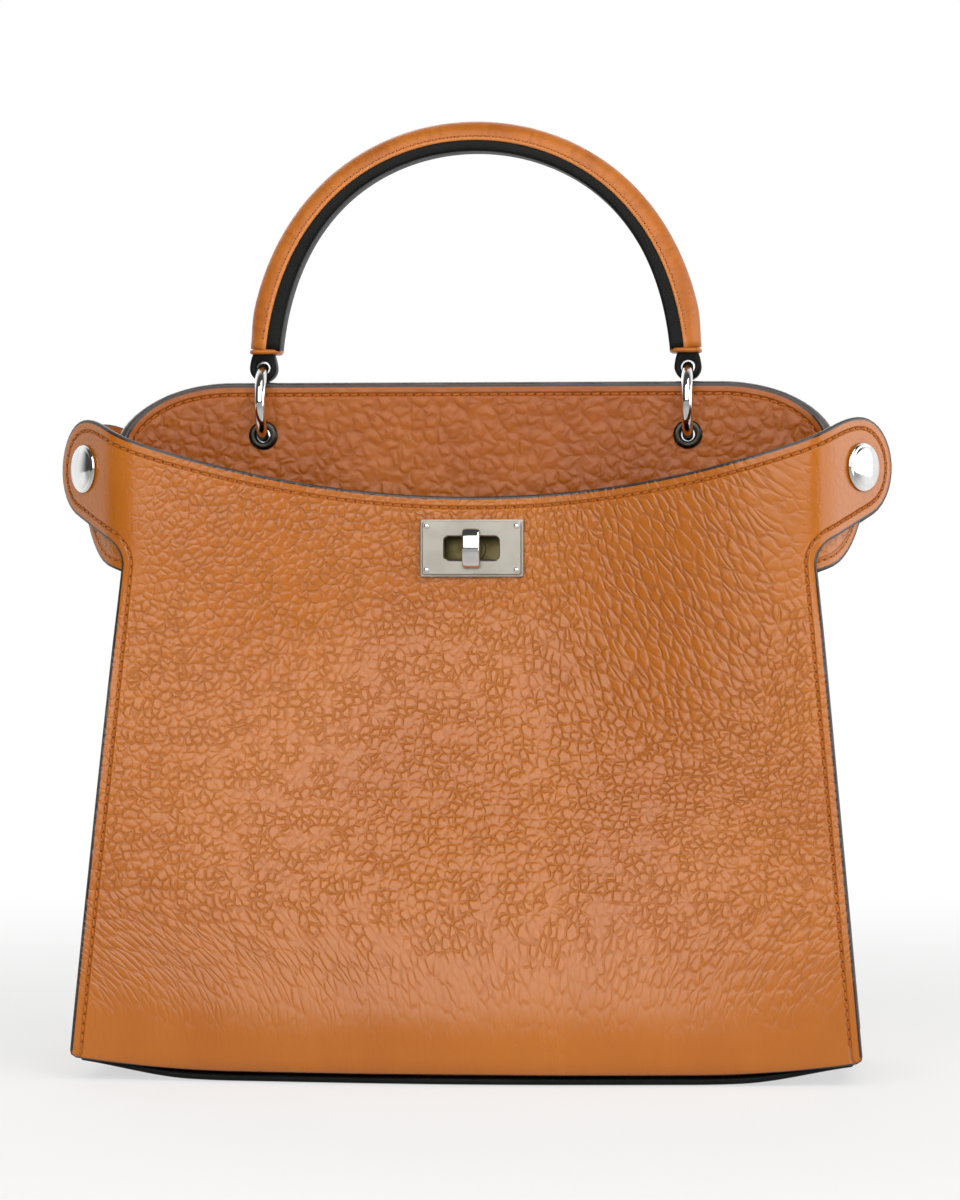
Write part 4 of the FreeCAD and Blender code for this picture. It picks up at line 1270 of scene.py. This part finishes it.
stitchTree = placingTree("stitch row", True, (8, 6), (0.9, 1.08))  # no two stitches are quite alike
rivetTree = placingTree("rivet set", False, (18, 10), (1.0, 1.0))
stitchSet = {"pitch": 3.2, "thread": (1.14, 0.4, 0.3), "sink": -0.02, "slant": 0.24,
             "hole": (0.38, 0.34, 0.12), "seed": 7, "divider": 3.3, "tab": 2.6, "tabSpan": (115, 8, 56),
             "cover": (1.35, 0.05), "coverSize": 0.8}


def stitched(name, paths, bodyName, size=1.0):
    pitch = stitchSet["pitch"] * mm * size
    # the needle holes are dark marks standing on the surface: painted shade of the holes
    for part, form, shift, sink, slant, finish in (
            ("_thread", "thread", 0.0, stitchSet["sink"], stitchSet["slant"], threadFinish),
            ("_needle_holes", "hole", pitch / 2, 0.0, 0.0, needleHoleShade)):
        placed(name + part, stitchTree, paths, {
            "Pitch": pitch, "Shift": shift, "Sink": sink * mm, "Slant": slant, "Seed": stitchSet["seed"],
            "Size": tuple(np.array(stitchSet[form]) * mm * size), "Finish": finish}, bodyName)


def onSurface(flat, surface, step=0.3):  # path on a surface from its sheet coordinates
    path = []
    for w, z in flat:
        here = np.array(surface(w, z))
        up = unit(np.cross(np.array(surface(w + step, z)) - here, np.array(surface(w, z + step)) - here))
        path.append((here, up, (0.0, 0.0, 1.0)))
    return path


def inside(border, inset):  # border moved in to its left
    border = np.array(border)
    step = unit(np.roll(border, -1, 0) - np.roll(border, 1, 0))
    step[0], step[-1] = unit(border[1] - border[0]), unit(border[-1] - border[-2])
    return border + np.stack([-step[:, 1], step[:, 0]], 1) * inset


def mirrorPath(path, axis):
    flip = np.ones(3)
    flip[axis] = -1
    return [(np.array(p) * flip, np.array(u) * flip, np.array(h) * flip) for p, u, h in path]


# Seams of the panels, the divider, the tabs and the handle
panelBorder = [(panelEdge(z), z) for z in np.linspace(panelSet["sideFrom"], plan["armpit"] - 1.5, 60)][2:]
panelBorder += earBorder() + topBorder(0.0, 120)
right = evenly(inside(evenly(panelBorder, 420), panelSet["seam"]), 420)
seamPath = onSurface(np.vstack([right, (right * [-1, 1])[::-1][1:]]), panelPoint)
dividerBorder = [(s, dividerTop(s)) for s in np.linspace(sheetHalf - 0.4, -sheetHalf + 0.4, 300)]
dividerFlat = evenly(inside(dividerBorder, stitchSet["divider"]), 300)
dividerPath = onSurface(dividerFlat, dividerFront)
dividerBack = [((p[0], -p[1] + 2 * dividerPlan(w)[1], p[2]), (u[0], -u[1], u[2]), h)
               for (p, u, h), (w, z) in zip(dividerPath, dividerFlat)]
tabCount, tabFrom, tabTo = stitchSet["tabSpan"]
tabBorder = evenly(rounded(gussetSet["tabBorder"], 3), tabCount)[tabFrom:tabTo]
tabPath = onSurface(evenly(inside(tabBorder, stitchSet["tab"]), 90),
                    lambda w, z: panelPoint(w, z, gussetSet["tabInset"]))
tabs = [tabPath, mirrorPath(tabPath, 0)]
stitched("bag_seam", [seamPath, mirrorPath(seamPath, 1), dividerPath, dividerBack] + tabs
         + [mirrorPath(path, 1) for path in tabs], "bag")
coverPath = []
over, proud = stitchSet["cover"]
for spot, out, run in handleRows[2:-2]:
    point = spot + out * (handleSet["skirt"] + over) + np.array([0.0, -coverSize(run)[0] + proud, 0.0])
    coverPath.append((point, (0.0, -1.0, 0.0), (0.0, 0.0, 1.0)))
stitched("handle_seam", [coverPath, mirrorPath(coverPath, 1)], "handle", stitchSet["coverSize"])

# Rivets at the corners of both lock plates
rivetX, rivetZ = (size / 2 - lockSet["rivetInset"] for size in lockSet["frame"])
rivets = [[((x * rivetX, -front * plateFront, plan["lockZ"] + z * rivetZ), (0.0, front, 0.0),
            (1.0, 0.0, 0.0))] for front in (-1.0, 1.0) for x in (-1, 1) for z in (-1, 1)]
rivetSize = (lockSet["rivet"] * mm, lockSet["rivet"] * mm, lockSet["rivetHigh"] * mm)
placed("lock_rivet_heads", rivetTree, rivets, {
    "Size": rivetSize, "Seed": 1, "Pitch": 0.001, "Shift": 0.0, "Sink": 0.0, "Slant": 0.0,
    "Finish": polishedSteel}, "bag", ["front_lock_rivets", "back_lock_rivets"])
print("stitches and rivets placed")


# Finishes for the solids that still show
shownSolids = {
    "base_board": suede, "left_eyelet_washer": darkMetal, "right_eyelet_washer": darkMetal,
    "front_lock_backplate": darkMetal, "back_lock_backplate": darkMetal, "front_lock_base": oldBrass,
    "back_lock_base": oldBrass, "front_lock_spindle": oldBrass, "back_lock_spindle": oldBrass,
    "front_left_stud_washer": darkMetal, "front_right_stud_washer": darkMetal,
    "back_left_stud_washer": darkMetal, "back_right_stud_washer": darkMetal,
}
for name, finish in shownSolids.items():
    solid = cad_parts[name]
    if not solid.material_slots:
        solid.data.materials.append(finish)
    for holder in solid.material_slots:
        holder.material = finish

# Camera at the photograph's angle: level, slightly from the right
cameraSet = {"azimuth": 4.7, "distance": 1.457, "height": 0.1604, "shift": 0.0016, "lens": 127.3,
             "sensor": 36.0, "clip": (0.05, 50.0)}
turn = math.radians(cameraSet["azimuth"])
rightward = Vector((math.cos(turn), math.sin(turn), 0.0))
back = Vector((math.sin(turn), -math.cos(turn), 0.0))
camera = bpy.data.objects.new("camera", bpy.data.cameras.new("camera"))
camera.data.lens, camera.data.sensor_width = cameraSet["lens"], cameraSet["sensor"]
camera.data.clip_start, camera.data.clip_end = cameraSet["clip"]
camera.location = back * cameraSet["distance"] + rightward * cameraSet["shift"]
camera.location.z = cameraSet["height"]
camera.rotation_mode = "QUATERNION"
camera.rotation_quaternion = (-back).to_track_quat("-Z", "Y")
scene.collection.objects.link(camera)
scene.camera = camera
scene.view_settings.view_transform = "Standard"

# Soft studio light: a wide front lamp, a key from the upper right, fill and rim light
lampAim = Vector((0, 0, 0.12))
lampSet = {
    "key": {"at": (0.85, -1.05, 1.65), "size": (0.95, 0.95), "power": 7.5, "tint": (1.0, 0.985, 0.965)},
    "front": {"at": (0.02, -1.55, 0.91), "size": (2.15, 1.4), "power": 28.0, "tint": (1.0, 0.99, 0.98)},
    "side": {"at": (1.58, -0.16, 0.4), "size": (1.8, 1.0), "power": 13.0, "tint": (1.0, 0.98, 0.96)},
    "fill": {"at": (-1.5, -1.1, 0.6), "size": (1.2, 1.2), "power": 3.0, "tint": (1.0, 0.99, 0.98),
             "shine": False},
    "rear": {"at": (-0.4, 1.6, 1.0), "size": (1.4, 1.4), "power": 12.0, "tint": (1.0, 1.0, 1.0)},
}
for name, given in lampSet.items():
    lamp = bpy.data.lights.new(name, "AREA")
    lamp.shape, lamp.energy, lamp.color = "RECTANGLE", given["power"], given["tint"]
    lamp.size, lamp.size_y = given["size"]
    holder = bpy.data.objects.new(name, lamp)
    holder.location, holder.visible_glossy = given["at"], given.get("shine", True)
    holder.rotation_mode = "QUATERNION"
    holder.rotation_quaternion = (lampAim - Vector(given["at"])).to_track_quat("-Z", "Y")
    scene.collection.objects.link(holder)

# White surroundings for the eye and for reflections, softer for the light that falls on the bag
airSet = {"light": 0.13, "mirrorFore": 0.06, "backdrop": (-0.1, 0.4)}
world = bpy.data.worlds.new("studio")
scene.world = world
world.use_nodes = True
world.node_tree.nodes.clear()
air = Wire(world.node_tree)
towards = air.put("ShaderNodeTexCoord", None, None, "Generated")
behind = air.put("ShaderNodeSeparateXYZ", None, {0: towards}, "Y").ease(*airSet["backdrop"])
level = lightPath(air, "Glossy").between(airSet["light"], behind.between(airSet["mirrorFore"], 1.0))
seen = air.maths("MAXIMUM", lightPath(air, "Camera"), lightPath(air, "Transmission"))
glow = air.put("ShaderNodeBackground", None, {"Color": seen.between(level, 1.0), "Strength": 1.0})
air.put("ShaderNodeOutputWorld", None, {"Surface": glow})

# Pale floor that keeps the shadow and fades into the white
floorSet = {"radius": 6.0, "steps": 96, "drop": -0.0004, "near": 0.28, "far": 0.95, "lift": 0.62, "fore": 0.4,
            "foreFade": (-0.3, 0.2), "tone": (0.9, 0.9, 0.9, 1), "rough": 0.9, "gloss": 0.1}
turns = [2 * math.pi * k / floorSet["steps"] for k in range(floorSet["steps"])]
rim = [(floorSet["radius"] * math.cos(a), floorSet["radius"] * math.sin(a), floorSet["drop"]) for a in turns]
mesh = bpy.data.meshes.new("floor")
mesh.from_pydata(rim, [], [tuple(range(len(rim)))])
floor = bpy.data.objects.new("floor", mesh)
scene.collection.objects.link(floor)
finish, tree, shader = newFinish("pale floor")
spot = objectSpot(tree)
reach = tree.put("ShaderNodeVectorMath", {"operation": "LENGTH"}, {0: spot}, "Value")
gloss = lightPath(tree, "Glossy")
fade = reach.ease(floorSet["near"], floorSet["far"]).between(floorSet["lift"], 1.0)
fade = fade * tree.maths("MAXIMUM", lightPath(tree, "Camera"), gloss)
fore = tree.put("ShaderNodeSeparateXYZ", None, {0: spot}, "Y").ease(*floorSet["foreFade"])
feed(tree, shader, Base_Color=floorSet["tone"], Roughness=floorSet["rough"],
     Specular_IOR_Level=floorSet["gloss"])
white = tree.put("ShaderNodeEmission", None,
                 {"Color": gloss.between(1.0, fore.between(floorSet["fore"], 1.0)), "Strength": 1.0})
both = tree.put("ShaderNodeMixShader", None, {0: fade, 1: Wire(tree.tree, shader.outputs[0]), 2: white})
output = next(node for node in tree.tree.nodes if node.type == "OUTPUT_MATERIAL")
tree.tree.links.new(both.socket, output.inputs["Surface"])
mesh.materials.append(finish)
floor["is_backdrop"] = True
print("camera, lamps and floor set")

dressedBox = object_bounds()
for word, box in (("cad", cadBox), ("visual", dressedBox)):
    print("size", word, [round((high - low) * 1000, 1) for low, high in zip(*box)])
